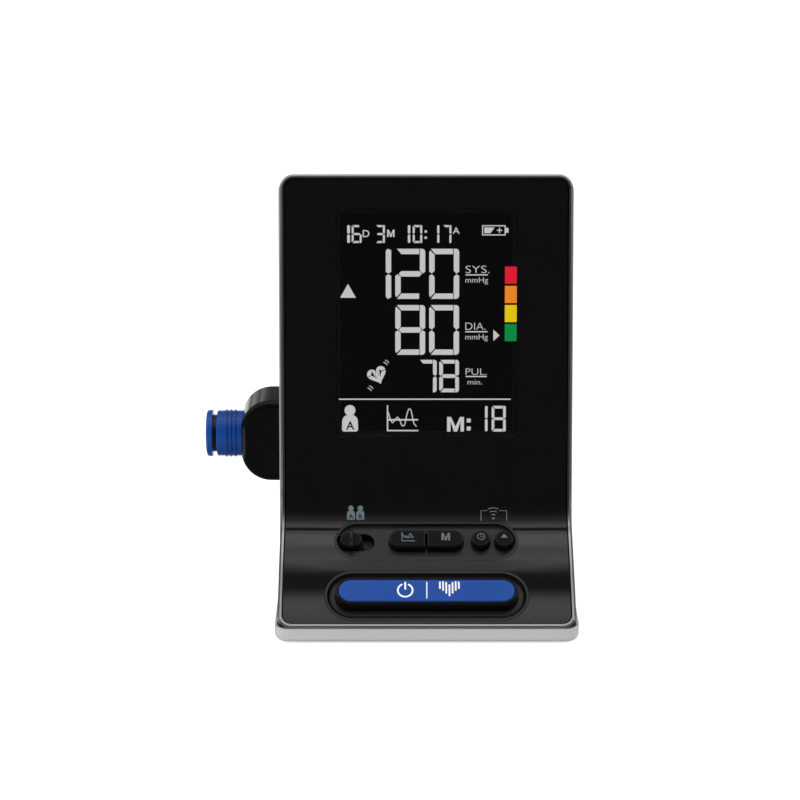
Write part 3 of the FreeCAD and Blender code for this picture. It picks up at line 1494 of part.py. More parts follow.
def socket_parts():
    """Socket body, core with its air pipe, release sleeve and flange, return ring and seal."""
    made = {}
    body = leftward("socket_body", port_y, port_z)
    inner = release_radius + release_fit
    outline = [
        (core_radius, body_root),
        (body_radius, body_root),
        (body_radius, body_end),
        (inner, body_end),
        (inner, ring_root - 0.2),
        (core_radius, ring_root - 0.2),
    ]
    body.turned(outline)
    body.round_edges(0.5, lambda m, e: near(m.z, body_end) and near(math.hypot(m.x, m.y), body_radius))
    for number in range(3):
        low = boss_face + rib_first + (number - 0.5) * rib_pitch - rib_width / 2
        rib = body.sketch((0, 0, body_radius + rib_height), (0, 0, body_radius - 0.2), lift=low)
        body.pad(rib, rib_width)
    made["socket_body"] = body.body

    core = leftward("socket_core", port_y, port_z)
    pipe_end = manifold_x + manifold_size / 2 - tail_seat
    groove_low = core_end - socket_depth + 1.2
    groove_high = groove_low + 2 * seal_wire + 0.1
    groove = socket_radius + 1.75 * seal_wire
    outline = [
        (tail_bore, pipe_end),
        (tail_radius, pipe_end),
        (tail_radius, body_root + 0.2),
        (core_radius - slip / 3, body_root + 0.2),
        (core_radius - slip / 3, core_end),
        (socket_radius, core_end),
        (socket_radius, groove_high),
        (groove, groove_high),
        (groove, groove_low),
        (socket_radius, groove_low),
        (socket_radius, core_end - socket_depth),
        (tail_bore, core_end - socket_depth),
    ]
    core.turned(outline)
    made["socket_core"] = core.body

    seal = leftward("seal_ring", port_y, port_z)
    middle, at = groove - seal_wire - 0.05, (groove_low + groove_high) / 2
    seal_circle = (middle, at, seal_wire)
    seal.turned(seal_circle)
    made["seal_ring"] = seal.body

    sleeve = leftward("release_sleeve", port_y, port_z)
    sleeve_inner = core_radius + release_fit
    sleeve.turned(ring_outline(sleeve_inner, release_radius, release_root, lip_root))
    made["release_sleeve"] = sleeve.body

    flange = leftward("release_flange", port_y, port_z)
    flange.turned(ring_outline(sleeve_inner, lip_radius, lip_root, lip_end))
    flange.round_edges(
        lip_dome, lambda m, e: near(m.z, lip_end) and near(math.hypot(m.x, m.y), lip_radius)
    )
    made["release_flange"] = flange.body

    ring = leftward("return_ring", port_y, port_z)
    ring.turned(
        ring_outline(core_radius + 0.3, release_radius - 0.3, ring_root, release_root - 0.05)
    )
    made["return_ring"] = ring.body
    return made


# ---------------------------------------------------------------- power


def battery_box():
    """The tub that holds the four cells, with a flange behind the door opening."""
    box = Piece("battery_box")
    middle_z = battery_base + box_height / 2
    flange_front = inner_y - 1.4
    flange_low, flange_high = door_low - flange_edge + 0.5, door_high + flange_edge
    flange = rectangle(
        door_width + 2 * flange_edge,
        flange_high - flange_low,
        0,
        (flange_low + flange_high) / 2,
    )
    box.pad(box.sketch(flange, plane="XZ", lift=-inner_y + 0.05), 1.3)
    tub = rectangle(box_width, box_height, 0, middle_z)
    box.pad(box.sketch(tub, plane="XZ", lift=-inner_y + 0.05), inner_y - box_front)
    hollow = rectangle(box_width - 2 * tray_wall, cell_room, 0, middle_z)
    sketch = box.sketch(hollow, plane="XZ", lift=-inner_y - 1)
    box.pocket(sketch, inner_y + 1 - box_front - tray_wall, back=True)
    return box.body


def cells():
    """Four cells side by side, their ends turned about in turn."""
    made = {}
    for number in range(4):
        x = (number - 1.5) * cell_pitch
        up = number % 2 == 0
        z = cells_z + contact_room if up else cells_z + cell_room - contact_room
        cell = Piece(f"battery_cell_{number + 1}", x=x, y=cells_y, z=z, tilt=0 if up else 180)
        outline = [
            (0, 0),
            (cell_radius, 0),
            (cell_radius, cell_length),
            (cap_radius, cell_length),
            (cap_radius, cell_length + cell_cap),
            (0, cell_length + cell_cap),
        ]
        cell.turned(outline)
        cell.round_edges(
            0.5, lambda m, e: near(math.hypot(m.x, m.y), cell_radius) and edge_is_round(e)
        )
        made[f"battery_cell_{number + 1}"] = cell.body
    return made


def edge_is_round(edge):
    return isinstance(edge.Curve, Part.Circle)


def contacts():
    """The contact sheets at both ends of the battery box, each with a leaf for every cell."""
    made = {}
    for label, top in (("lower_contacts", False), ("upper_contacts", True)):
        sheet = Piece(label)
        places = [((number - 1.5) * cell_pitch) for number in range(4)]
        side = 2 * (cell_radius - contact_margin)
        squares = [rectangle(side, side, x, cells_y) for x in places]
        leaves = [(x, cells_y, leaf_radius) for x in places]
        leaf = contact_room - contact_thick - stop_gap
        base = cells_z + 0.05
        if top:
            base = cells_z + cell_room - 0.05
        sheet.pad(sheet.sketch(*squares, lift=base), contact_thick, back=top)
        start = base + (-contact_thick if top else contact_thick)
        sheet.pad(sheet.sketch(*leaves, lift=start), leaf, back=top)
        made[label] = sheet.body
    return made


def battery_door():
    """The door: a plate with a round lower edge, hinge pins, and a ribbed thumb grip."""
    door = Piece("battery_door", y=hinge_y, z=hinge_z)
    height = door_high - slip - hinge_z
    width = door_width - 2 * slip
    plate = rectangle(width, height, 0, height / 2)
    door.pad(door.sketch(plate, plane="XZ"), door_thick, both=True)
    door.pad(door.sketch((0, 0, hinge_radius), plane="YZ"), width, both=True)
    door.pad(door.sketch((0, 0, door_pin), plane="YZ"), width + 2 * pin_length, both=True)
    grip_z = height - grip_drop
    grip = stadium(grip_width, grip_high, 0, grip_z)
    door.pocket(door.sketch(grip, plane="XZ", lift=-hinge_radius), grip_deep, back=True)
    rib_length = grip_width - 2 * grip_margin
    ribs = [
        rectangle(rib_length, grip_rib, 0, grip_z + step * grip_rib_pitch) for step in (-1, 0, 1)
    ]
    root = grip_deep + 0.1
    rib_seat = door.sketch(*ribs, plane="XZ", lift=-hinge_radius + root)
    door.pad(rib_seat, grip_rib_rise + 0.1, back=True)
    return door.body


def power_jack():
    """The power jack: a block inside the back wall, a collar through it, and a centre pin."""
    jack = Piece("power_jack", x=jack_x, y=back_y, z=jack_z, tilt=-90)
    square = rounded(jack_side, jack_side, sized(0.8))
    inside = rear_wall + slip / 3
    jack.pad(jack.sketch(square, lift=-inside - jack_length), jack_length)
    collar = jack.sketch((0, 0, jack_collar), lift=-inside - 0.5)
    jack.pad(collar, inside + 0.5 - slip)
    bore = jack.sketch((0, 0, jack_bore), lift=0)
    jack.pocket(bore, jack_depth)
    pin = Piece("jack_pin", x=jack_x, y=back_y, z=jack_z, tilt=-90)
    pin.pad(pin.sketch((0, 0, jack_pin), lift=-jack_depth + 0.05), jack_depth - 1.5)
    pin.round_edges(0.3, lambda m, e: near(m.z, -1.45))
    return {"power_jack": jack.body, "jack_pin": pin.body}


# ---------------------------------------------------------------- the build


def build():
    made = {"trim_frame": trim_frame(), "front_panel": front_panel()}
    made["front_housing"] = front_posts(front_housing()).body
    made["rear_housing"] = rear_housing()
    made["base_plate"] = base_plate()
    made["rubber_feet"] = rubber_feet()
    made.update(screws())
    made.update(display_parts())
    made["flat_cable"] = flat_cable()
    made["key_tray"] = key_tray()
    made["start_bezel"] = start_bezel()
    made.update(keys())
    made.update(key_board_parts())
    made.update(pump_parts())
    made.update(manifold_and_valve())
    low = port_z - manifold_size / 2
    high = port_z + manifold_size / 2
    pump_run = manifold_x - pump_left
    made["pump_tube"] = soft_tube(
        "pump_tube", -manifold_x, low, True, tube_bend, (pump_run, low - pump_z)
    )
    sensor_run = tube_bend + 2
    made["sensor_tube"] = soft_tube(
        "sensor_tube", -manifold_x, high, False, sized(3.5), (sensor_run, sensor_z - high)
    )
    made["port_housing"] = port_housing()
    made.update(socket_parts())
    made["battery_box"] = battery_box()
    made.update(cells())
    made.update(contacts())
    made["battery_door"] = battery_door()
    made.update(power_jack())
    return made


def save(made):
    """Checks every object, then writes one STEP file for each sub-part."""
    for thing in DOC.Objects:
        bad = [state for state in thing.State if state in ("Invalid", "Error")]
        if bad:
            raise RuntimeError(f"{thing.Label} is {bad}")
    os.makedirs("parts", exist_ok=True)
    for node, thing in made.items():
        shape = thing.Shape
        if shape.isNull() or not shape.isValid():
            raise RuntimeError(f"{node} has no valid shape")
        shape.exportStep(f"parts/{node}.step")
        print(node, len(shape.Solids), round(shape.Volume, 2))


save(build())
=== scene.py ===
import math

import bmesh
import bpy
from bpy.props import FloatProperty, FloatVectorProperty, PointerProperty
from mathutils import Matrix, Vector
from mathutils.geometry import interpolate_bezier


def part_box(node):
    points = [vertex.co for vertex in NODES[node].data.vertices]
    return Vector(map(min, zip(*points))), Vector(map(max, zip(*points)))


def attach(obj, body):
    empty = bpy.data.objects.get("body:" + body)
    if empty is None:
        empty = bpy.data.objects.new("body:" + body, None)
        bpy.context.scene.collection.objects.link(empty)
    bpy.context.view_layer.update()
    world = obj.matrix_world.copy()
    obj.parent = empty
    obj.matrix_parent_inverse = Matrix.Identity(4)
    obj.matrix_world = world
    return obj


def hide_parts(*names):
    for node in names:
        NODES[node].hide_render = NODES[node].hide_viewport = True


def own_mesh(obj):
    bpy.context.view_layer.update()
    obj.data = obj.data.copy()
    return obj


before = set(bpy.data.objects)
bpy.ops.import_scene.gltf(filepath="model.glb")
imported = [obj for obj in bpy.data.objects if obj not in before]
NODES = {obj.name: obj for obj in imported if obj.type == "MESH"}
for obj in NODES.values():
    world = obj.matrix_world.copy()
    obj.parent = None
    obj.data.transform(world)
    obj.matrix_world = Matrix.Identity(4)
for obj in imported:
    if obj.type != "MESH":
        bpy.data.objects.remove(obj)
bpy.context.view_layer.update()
MM = 0.001

bl_info = {
    "name": "Desktop Blood Pressure Monitor Looks",
    "version": (1, 0, 0),
    "blender": (4, 5, 0),
    "location": "View3D > Sidebar > Monitor",
    "description": "Finishes, display content, printed marks and the stage of a desktop monitor",
    "category": "Object",
}

# ------------------------------ planes of the object


class Plane:
    """A flat place on the object: x to the right, y up along it, z out of it, in millimetres."""

    def __init__(self, origin, lean):
        self.origin = origin
        self.up = Vector((0, math.cos(lean), math.sin(lean)))
        self.out = Vector((0, -math.sin(lean), math.cos(lean)))

    def place(self, x, y, z=0.0):
        return self.origin + (Vector((x, 0, 0)) + y * self.up + z * self.out) * MM


def halfway(values):
    return (min(values) + max(values)) / 2


def plate_plane(node, lean):
    """The plane on top of a plate that leans about X, its origin over the plate's middle."""
    plane = Plane(Vector((0, 0, 0)), lean)
    heights = [vertex.co.dot(plane.out) for vertex in NODES[node].data.vertices]
    ups = [vertex.co.dot(plane.up) for vertex in NODES[node].data.vertices]
    plane.origin = max(heights) * plane.out + halfway(ups) * plane.up
    return plane


PANEL_TILT = math.radians(75)
KEY_SLOPE = math.radians(35)
DISPLAY = plate_plane("display_glass", PANEL_TILT)
START_TOP = plate_plane("start_inlay", KEY_SLOPE)
# The tops of the other keys, from the start key's middle.
KEYS_UP, KEYS_BELOW = 22.7, 2.05
KEY_TOPS = Plane(START_TOP.place(0, KEYS_UP, -KEYS_BELOW), KEY_SLOPE)
# How far marks stand off the surface that they are printed on, lit parts off the display's glass,
# and dark parts that cover lit ones.
PRINT_ABOVE, LIT_ABOVE, COVER_ABOVE = 0.005, 0.008, 0.041
SCREW_HEAD = 1.3 * MM


class Bend:
    """The concave bend between panel and deck: y runs up it from where the user marks stand."""

    radius = 22.0
    foot = 11.25
    middle = Vector((0, -23.9, 47.35)) * MM

    def place(self, x, y, z=0.0):
        angle = PANEL_TILT - (self.foot - y) / self.radius
        reach = (self.radius - z) * MM
        away = Vector((0, math.sin(angle), -math.cos(angle)))
        return self.middle + reach * away + Vector((x * MM, 0, 0))


# ------------------------------ properties


def size(name, note, default):
    return FloatProperty(name=name, description=note, default=default, unit="LENGTH", precision=5)


def colour(name, note, default):
    return FloatVectorProperty(
        name=name, description=note, default=default, subtype="COLOR", size=3, min=0, max=1
    )


class MonitorColours(bpy.types.PropertyGroup):
    """Colours of the finishes."""

    gloss_black: colour("Gloss black", "Front panel and port housing", (0.0028, 0.0027, 0.0029))
    key_black: colour("Key black", "Keys and user knob", (0.0040, 0.0038, 0.0041))
    satin_black: colour("Satin black", "Front housing, recess and frames", (0.008, 0.008, 0.0085))
    silver: colour("Silver", "Rear housing and base plate", (0.72, 0.735, 0.745))
    trim: colour("Trim", "Dark chrome trim frame", (0.42, 0.42, 0.43))
    blue: colour("Blue", "Start key and hose socket", (0.009, 0.060, 0.300))
    print_grey: colour("Key print", "Marks on keys and panel", (0.105, 0.145, 0.155))
    print_white: colour("White print", "Marks on the start key", (0.86, 0.87, 0.88))
    display_light: colour("Display light", "Lit parts of the display", (0.62, 0.62, 0.61))


class MonitorSizes(bpy.types.PropertyGroup):
    """Sizes of the pieces that are made here."""

    print_thick: size("Print thickness", "How far a printed mark stands up", 0.00003)
    icon_line: size("Icon line", "Line width of the marks on the keys", 0.0004)
    release_travel: size("Release travel", "How far the release sleeve goes in", 0.0012)
    grip_width: size("Grip width", "Width of the crown on the user knob's ridge", 0.0014)
    grip_rise: size("Grip rise", "How far the crown stands above the ridge", 0.00015)


class MonitorSettings(bpy.types.PropertyGroup):
    """All settings of the monitor's looks."""

    colours: PointerProperty(type=MonitorColours)
    sizes: PointerProperty(type=MonitorSizes)


def settings():
    return bpy.context.scene.monitor_looks


# ------------------------------ nodes and finishes


def put(tree, socket, value):
    """Sets a socket to a value, or links it to another socket or to a node's first output."""
    if isinstance(value, bpy.types.Node):
        value = value.outputs[0]
    if isinstance(value, bpy.types.NodeSocket):
        tree.links.new(value, socket)
    else:
        socket.default_value = value


def fill(tree, node, **values):
    """Sets or links a node's inputs, which are named with _ for a space."""
    for key, value in values.items():
        put(tree, node.inputs[key.replace("_", " ")], value)
    return node


def feed(tree, kind, *first, _settings=(), **named):
    """A node with its settings made, and its first inputs and its named ones set or linked."""
    node = tree.nodes.new(kind)
    for key, value in dict(_settings).items():
        setattr(node, key, value)
    for socket, value in zip(node.inputs, first):
        put(tree, socket, value)
    return fill(tree, node, **named)


def maths(tree, operation, *values):
    return feed(tree, "ShaderNodeMath", *values, _settings={"operation": operation})


def noise(tree, given, scale, detail):
    node = feed(tree, "ShaderNodeTexNoise", Vector=given["Vector"], Scale=scale, Detail=detail)
    return node.outputs["Fac"]


def new_group(kind, name, output, **inputs):
    """A node group with one output. Its inputs, named with _ for a space, have defaults or None.
    Gives the group, what goes into it and the socket that takes what it makes."""
    tree = bpy.data.node_groups.new(name, kind)

    def add(label, way):
        kinds = {"Vector": "Vector", "Colour": "Color", "Geometry": "Geometry", "Material": "Material"}
        kind_name = "NodeSocket" + kinds.get(label, "Float")
        return tree.interface.new_socket(label.replace("_", " "), in_out=way, socket_type=kind_name)

    for label, value in inputs.items():
        socket = add(label, "INPUT")
        if value and kind == "GeometryNodeTree":
            socket.subtype = "DISTANCE"
        if value:
            socket.default_value = value
    add(output, "OUTPUT")
    start, end = tree.nodes.new("NodeGroupInput"), tree.nodes.new("NodeGroupOutput")
    return tree, start.outputs, end.inputs[output]


def make_grain_group():
    """Fine moulded or sprayed grain, as a height."""
    tree, given, height = new_group(
        "ShaderNodeTree", "Fine Grain", "Height", Vector=None, Scale=2500.0, Depth=0.5
    )
    fine = noise(tree, given, given["Scale"], 2.0)
    wide = noise(tree, given, maths(tree, "MULTIPLY", given["Scale"], 0.22), 1.0)
    both = maths(tree, "MULTIPLY_ADD", wide, 0.6, fine)
    put(tree, height, maths(tree, "MULTIPLY", both, given["Depth"]))
    return tree


def make_tone_group():
    """A colour that drifts a little over the surface."""
    tree, given, toned = new_group(
        "ShaderNodeTree", "Tone Drift", "Colour", Vector=None, Colour=(0.5, 0.5, 0.5, 1),
        Scale=60.0, Drift=0.1,
    )
    centred = maths(tree, "SUBTRACT", noise(tree, given, given["Scale"], 3.0), 0.5)
    gain = maths(tree, "MULTIPLY_ADD", centred, given["Drift"], 1.0)
    scale = {"operation": "SCALE"}
    scaled = feed(tree, "ShaderNodeVectorMath", given["Colour"], _settings=scale, Scale=gain)
    put(tree, toned, scaled)
    return tree


def make_gloss_group():
    """A roughness that handling and polishing make uneven."""
    tree, given, rough = new_group(
        "ShaderNodeTree", "Handled Gloss", "Roughness", Vector=None, Roughness=0.2, Spread=0.05,
        Scale=90.0,
    )
    centred = maths(tree, "SUBTRACT", noise(tree, given, given["Scale"], 4.0), 0.5)
    value = maths(tree, "MULTIPLY_ADD", centred, given["Spread"], given["Roughness"])
    put(tree, rough, maths(tree, "MAXIMUM", value, 0.02))
    return tree


GROUPS = {
    "Fine Grain": make_grain_group,
    "Tone Drift": make_tone_group,
    "Handled Gloss": make_gloss_group,
}


def use_group(tree, name, vector, **values):
    """A node of a shared group, which is built at its first use."""
    group = {"node_tree": bpy.data.node_groups.get(name) or GROUPS[name]()}
    return feed(tree, "ShaderNodeGroup", _settings=group, Vector=vector, **values)


def finish(name, tint, rough, drift=0.1, spread=0.04, grain=2500.0, depth=0.3, bump=0.02, **shader):
    """A finish from the shared groups. Extra values go on the shader's own sockets."""
    material = bpy.data.materials.get(name)
    if material:
        return material
    material = bpy.data.materials.new(name)
    material.use_nodes = True
    tree = material.node_tree
    vector = tree.nodes.new("ShaderNodeTexCoord").outputs["Object"]
    height = use_group(tree, "Fine Grain", vector, Scale=grain, Depth=depth)
    fill(
        tree,
        tree.nodes["Principled BSDF"],
        Base_Color=use_group(tree, "Tone Drift", vector, Colour=(*tint, 1), Drift=drift),
        Roughness=use_group(tree, "Handled Gloss", vector, Roughness=rough, Spread=spread),
        Normal=feed(tree, "ShaderNodeBump", Strength=bump, Distance=0.0001, Height=height),
        **shader,
    )
    material.diffuse_color = (*tint, 1)
    return material


def glow(name, tint):
    """A lit part of the display: its light is a little uneven, as from a backlight."""
    material = finish(name, [0.4 * c for c in tint], 0.5, Emission_Strength=1.0)
    tree = material.node_tree
    vector = tree.nodes["Texture Coordinate"].outputs["Object"]
    lit = use_group(tree, "Tone Drift", vector, Colour=(*tint, 1), Drift=0.06, Scale=40.0)
    fill(tree, tree.nodes["Principled BSDF"], Emission_Color=lit)
    return material


def gloss_black():
    return finish("Gloss black", settings().colours.gloss_black, 0.07, drift=0.3, spread=0.03,
                  grain=900.0, bump=0.004)


def key_black():
    return finish("Key black", settings().colours.key_black, 0.12, drift=0.3, spread=0.05,
                  grain=1200.0, bump=0.01, Specular_IOR_Level=0.26)


def foot_rubber():
    return finish("Foot rubber", (0.02, 0.02, 0.021), 0.75, grain=1800.0, depth=0.8, bump=0.35)


def grey_print():
    return finish("Grey print", settings().colours.print_grey, 0.5)


def dress(nodes, material):
    """Gives carried-over pieces a finish, through each piece's own material slots."""
    for name in nodes:
        piece = NODES[name]
        if not piece.material_slots:
            piece.data.materials.append(None)
        for place in piece.material_slots:
            place.link = "OBJECT"
            place.material = material


def coat(nodes, name, tint, rough, **look):
    """Gives carried-over pieces a finish that no others have."""
    dress(nodes, finish(name, tint, rough, **look))


# ------------------------------ flat shapes


def arc(x, y, radius, start, end, count=24):
    angles = [math.radians(start + (end - start) * n / count) for n in range(count + 1)]
    return [(x + radius * math.cos(a), y + radius * math.sin(a)) for a in angles]


def disc(x, y, radius):
    return arc(x, y, radius, 0, 360, 32)[:-1]


def box_outline(left, low, right, high):
    return [(left, low), (right, low), (right, high), (left, high)]


def round_box(left, low, right, high, corner):
    """A rectangle with round corners."""
    left, low, right, high = left + corner, low + corner, right - corner, high - corner
    points = []
    for x, y, start in ((right, low, -90), (right, high, 0), (left, high, 90), (left, low, 180)):
        points += arc(x, y, corner, start, start + 90, 6)
    return points


def both_sides(x, side):
    """A closed outline from the points of its right side, which are mirrored about x."""
    mirrored = [(x - across, y) for across, y in reversed(side) if across]
    return mirrored + [(x + across, y) for across, y in side]


def stroke(points, width):
    """The outline of a line of even width along open points, its ends square."""
    left, right = [], []
    for number, (x, y) in enumerate(points):
        before_x, before_y = points[max(number - 1, 0)]
        after_x, after_y = points[min(number + 1, len(points) - 1)]
        side = Vector((before_y - after_y, after_x - before_x)).normalized() * width / 2
        left.append((x + side.x, y + side.y))
        right.append((x - side.x, y - side.y))
    return left + right[::-1]


def turned_points(points, x, y, turn):
    """Points about the origin, turned and moved to x and y."""
    cos_turn, sin_turn = math.cos(turn), math.sin(turn)
    return [(x + a * cos_turn - b * sin_turn, y + a * sin_turn + b * cos_turn) for a, b in points]


def smooth_line(points, steps=6):
    """Points along a smooth curve through the given ones."""
    spots = [Vector(point) for point in (points[0], *points, points[-1])]
    result = []
    for before, one, other, after in zip(spots, spots[1:], spots[2:], spots[3:]):
        handles = one + (other - before) / 6, other - (after - one) / 6
        result += [tuple(spot) for spot in interpolate_bezier(one, *handles, other, steps + 1)[:-1]]
    return result + [points[-1]]


def outline_curve(outlines):
    """A filled flat curve. Outlines inside others are holes."""
    curve = bpy.data.curves.new("flat", "CURVE")
    curve.dimensions = "2D"
    curve.fill_mode = "BOTH"
    for outline in outlines:
        spline = curve.splines.new("POLY")
        spline.points.add(len(outline) - 1)
        for point, (x, y) in zip(spline.points, outline):
            point.co = (x, y, 0, 1)
        spline.use_cyclic_u = True
    return curve


def letter_curve(text, height, bold):
    """A word as a flat curve, its lower left corner at the origin and its capitals that high."""
    capital_share = 0.73
    curve = bpy.data.curves.new("letters", "FONT")
    curve.body = text
    curve.size = height / capital_share
    curve.offset = bold
    return curve


def new_object(name, data):
    """An object of that data, in the scene."""
    thing = bpy.data.objects.new(name, data)
    bpy.context.scene.collection.objects.link(thing)
    return thing


def plain_mesh(holder):
    """The finished shape of an object as a plain mesh. The object itself goes."""
    bpy.context.view_layer.update()
    evaluated = holder.evaluated_get(bpy.context.evaluated_depsgraph_get())
    mesh = bpy.data.meshes.new_from_object(evaluated)
    bpy.data.objects.remove(holder)
    return mesh


def flat_mesh(curve, thick):
    """A flat curve as a closed plate of that thickness above z = 0, in millimetres."""
    curve.extrude = thick / 2
    mesh = plain_mesh(new_object("flat", curve))
    mesh.transform(Matrix.Translation((0, 0, thick / 2)))
    return mesh


class Marks:
    """Gathers flat marks and lays them on a surface as one piece."""

    def __init__(self):
        self.sheet = bmesh.new()
        self.thick = settings().sizes.print_thick / MM

    def outlines(self, *outlines):
        """One mark: outlines inside others are holes."""
        self.take(flat_mesh(outline_curve(outlines), self.thick))

    def line(self, points, width):
        self.outlines(stroke(points, width))

    def person(self, x, low, width, height):
        """A head and shoulders mark: a disc above a rounded block that widens downwards."""
        head, half = width * 0.335, width / 2
        shoulders = low + height - 1.9 * head
        side = [
            (half - 0.1 * width, low),
            (half, low + 0.1 * width),
            (half * 0.96, shoulders - 0.32 * width),
            (half * 0.86, shoulders - 0.16 * width),
            (half * 0.62, shoulders - 0.04 * width),
            (half * 0.45, shoulders),
        ]
        self.outlines(disc(x, low + height - head, head))
        self.outlines(both_sides(x, side))

    def text(self, words, x, y, height, bold=0.0, width=None, centre=False):
        """A word with its lower left corner, or its lower middle, at x and y."""
        mesh = flat_mesh(letter_curve(words, height, bold), self.thick)
        across = [v.co.x for v in mesh.vertices]
        low, span = min(across), max(across) - min(across)
        factor = width / span if width else 1.0
        shift = -span * factor / 2 if centre else 0.0
        mesh.transform(Matrix.Translation((-low, 0, 0)))
        mesh.transform(Matrix.Translation((x + shift, y, 0)) @ Matrix.Diagonal((factor, 1, 1, 1)))
        self.take(mesh)

    def letter_m(self, left, low, width, height, line):
        """A plain M: two uprights and a V between them."""
        half, high = width / 2, low + height
        notch, valley = high - height * 0.28, low + height * 0.34
        self.outlines(both_sides(left + half, [
            (line * 0.5, low), (half - line, notch), (half - line, low), (half, low),
            (half, high), (half - line * 1.15, high), (0.0, valley),
        ]))

    def take(self, mesh):
        self.sheet.from_mesh(mesh)
        bpy.data.meshes.remove(mesh)

    def slice(self, step):
        """Cuts the marks into narrow bands so that they can follow a curved surface."""
        heights = [v.co.y for v in self.sheet.verts]
        level = min(heights) + step
        while level < max(heights):
            everything = self.sheet.verts[:] + self.sheet.edges[:] + self.sheet.faces[:]
            bmesh.ops.bisect_plane(
                self.sheet, geom=everything, plane_co=(0, level, 0), plane_no=(0, 1, 0)
            )
            level += step

    def lay(self, name, surface, lift, body, slot, material):
        """Puts the marks on a surface, a little above it, as a piece that rides on a body."""
        bmesh.ops.remove_doubles(self.sheet, verts=self.sheet.verts, dist=1e-5)
        for vertex in self.sheet.verts:
            vertex.co = surface.place(vertex.co.x, vertex.co.y, vertex.co.z + lift)
        mesh = bpy.data.meshes.new(name)
        fill_mesh(self.sheet, mesh)
        make_piece(name, mesh, body, material)


def fill_mesh(sheet, mesh):
    """Writes a sheet into a mesh, its faces pointing outwards."""
    bmesh.ops.recalc_face_normals(sheet, faces=sheet.faces)
    sheet.to_mesh(mesh)
    sheet.free()


def close_sheet(sheet, mesh):
    """Writes a sheet in metres into a mesh, its doubles merged and its faces pointing outwards."""
    bmesh.ops.remove_doubles(sheet, verts=sheet.verts, dist=1e-7)
    fill_mesh(sheet, mesh)


def make_piece(name, mesh, body, material):
    """An object of a mesh in its final place, riding on a body."""
    piece = new_object(name, mesh)
    piece.data.materials.clear()
    piece.data.materials.append(material)
    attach(piece, body)
    return piece


# ------------------------------ display content

SEGMENTS = {"0": "abcdef", "2": "abged", "3": "abgcd", "6": "afgedc", "7": "abc", "8": "abcdefg"}


def digit_segments(char, left, low, right, high, line, gap, soft):
    """The outlines of a seven-part digit between those edges."""
    middle, cut, half = (low + high) / 2, gap / 2, line / 2
    inner_left, inner_right = left + line, right - line

    def upright(edge, inner, end, mitred):
        """One upright part, from a point near the middle to its end at the top or bottom."""
        way = 1 if end > middle else -1
        turn = 1 if edge > inner else -1
        if mitred:
            corner = [
                (edge, end - way * (soft + gap)),
                (edge - turn * soft * 0.35, end - way * (soft * 0.35 + gap)),
                (inner, end - way * (line + gap)),
            ]
        else:
            corner = [
                (edge, end - way * soft),
                (edge - turn * soft * 0.3, end - way * soft * 0.3),
                (edge - turn * soft, end),
                (inner, end),
            ]
        return [
            (edge, middle + way * (cut + line * 0.32)),
            *corner,
            (inner, middle + way * (cut + half)),
            ((edge + inner) / 2, middle + way * cut),
        ]

    parts = {
        "b": upright(right, inner_right, high, False),
        "c": upright(right, inner_right, low, False),
        "f": upright(left, inner_left, high, True),
        "e": upright(left, inner_left, low, True),
        "g": [
            (left + half + gap, middle),
            (inner_left + gap * 0.8, middle - half),
            (inner_right - gap * 0.8, middle - half),
            (right - half - gap, middle),
            (inner_right - gap * 0.8, middle + half),
            (inner_left + gap * 0.8, middle + half),
        ],
    }
    for name, end, inwards in (("a", high, -line), ("d", low, line)):
        parts[name] = [
            (left + soft * 0.35 + gap, end),
            (inner_right - gap, end),
            (inner_right - gap, end + inwards),
            (inner_left + gap, end + inwards),
        ]
    return [parts[name] for name in SEGMENTS[char]]


def narrow_one(left, low, right, high, gap, soft):
    """The digit one: two bars, their outer ends cut on the left."""
    middle, half = (low + high) / 2, (right - left) / 2
    bars = []
    for way, end in ((1, high), (-1, low)):
        inner = middle + way * (gap / 2 + half * 0.6)
        bars.append([
            (left, inner),
            (left, end - way * soft * 0.8),
            (left + half * 0.7, end),
            (right, end - way * soft * 0.5),
            (right, inner),
            (left + half, middle + way * gap / 2),
        ])
    return bars


# Each row: digits with their left and right edges, then the row's low and high edge, the line
# width, the gap between parts and the softness of corners. Millimetres from the display's middle.
DIGIT_ROWS = (
    ((("1", -28.3, -27.3), ("6", -26.7, -23.1), ("3", -18.2, -14.8), ("1", -6.6, -5.7),
      ("0", -4.85, -1.45), ("1", 3.9, 4.7), ("7", 5.85, 9.0)), 28.4, 34.8, 0.74, 0.2, 0.35),
    ((("1", -14.5, -12.55), ("2", -11.1, -0.35), ("0", 1.05, 11.8)), 8.4, 26.35, 1.95, 0.24, 1.05),
    ((("8", -11.1, -0.35), ("0", 1.05, 11.8)), -11.7, 6.2, 1.95, 0.24, 1.05),
    ((("7", -2.65, 3.8), ("8", 4.7, 11.8)), -25.2, -13.5, 1.35, 0.2, 0.8),
    ((("1", 21.2, 22.15), ("8", 23.6, 28.7)), -39.4, -30.1, 0.98, 0.18, 0.5),
)


def draw_digits(marks):
    for digits, low, high, line, gap, soft in DIGIT_ROWS:
        for char, left, right in digits:
            if char == "1":
                shapes = narrow_one(left, low, right, high, gap, soft)
            else:
                shapes = digit_segments(char, left, low, right, high, line, gap, soft)
            for shape in shapes:
                marks.outlines(shape)
    # colons: their place across, half a dot's width and the dots' heights
    for x, half, heights in ((-0.18, 0.42, (32.5, 30.3)), (15.35, 0.72, (-35.4, -38.3))):
        for y in heights:
            marks.outlines(box_outline(x - half, y - half, x + half, y + half))


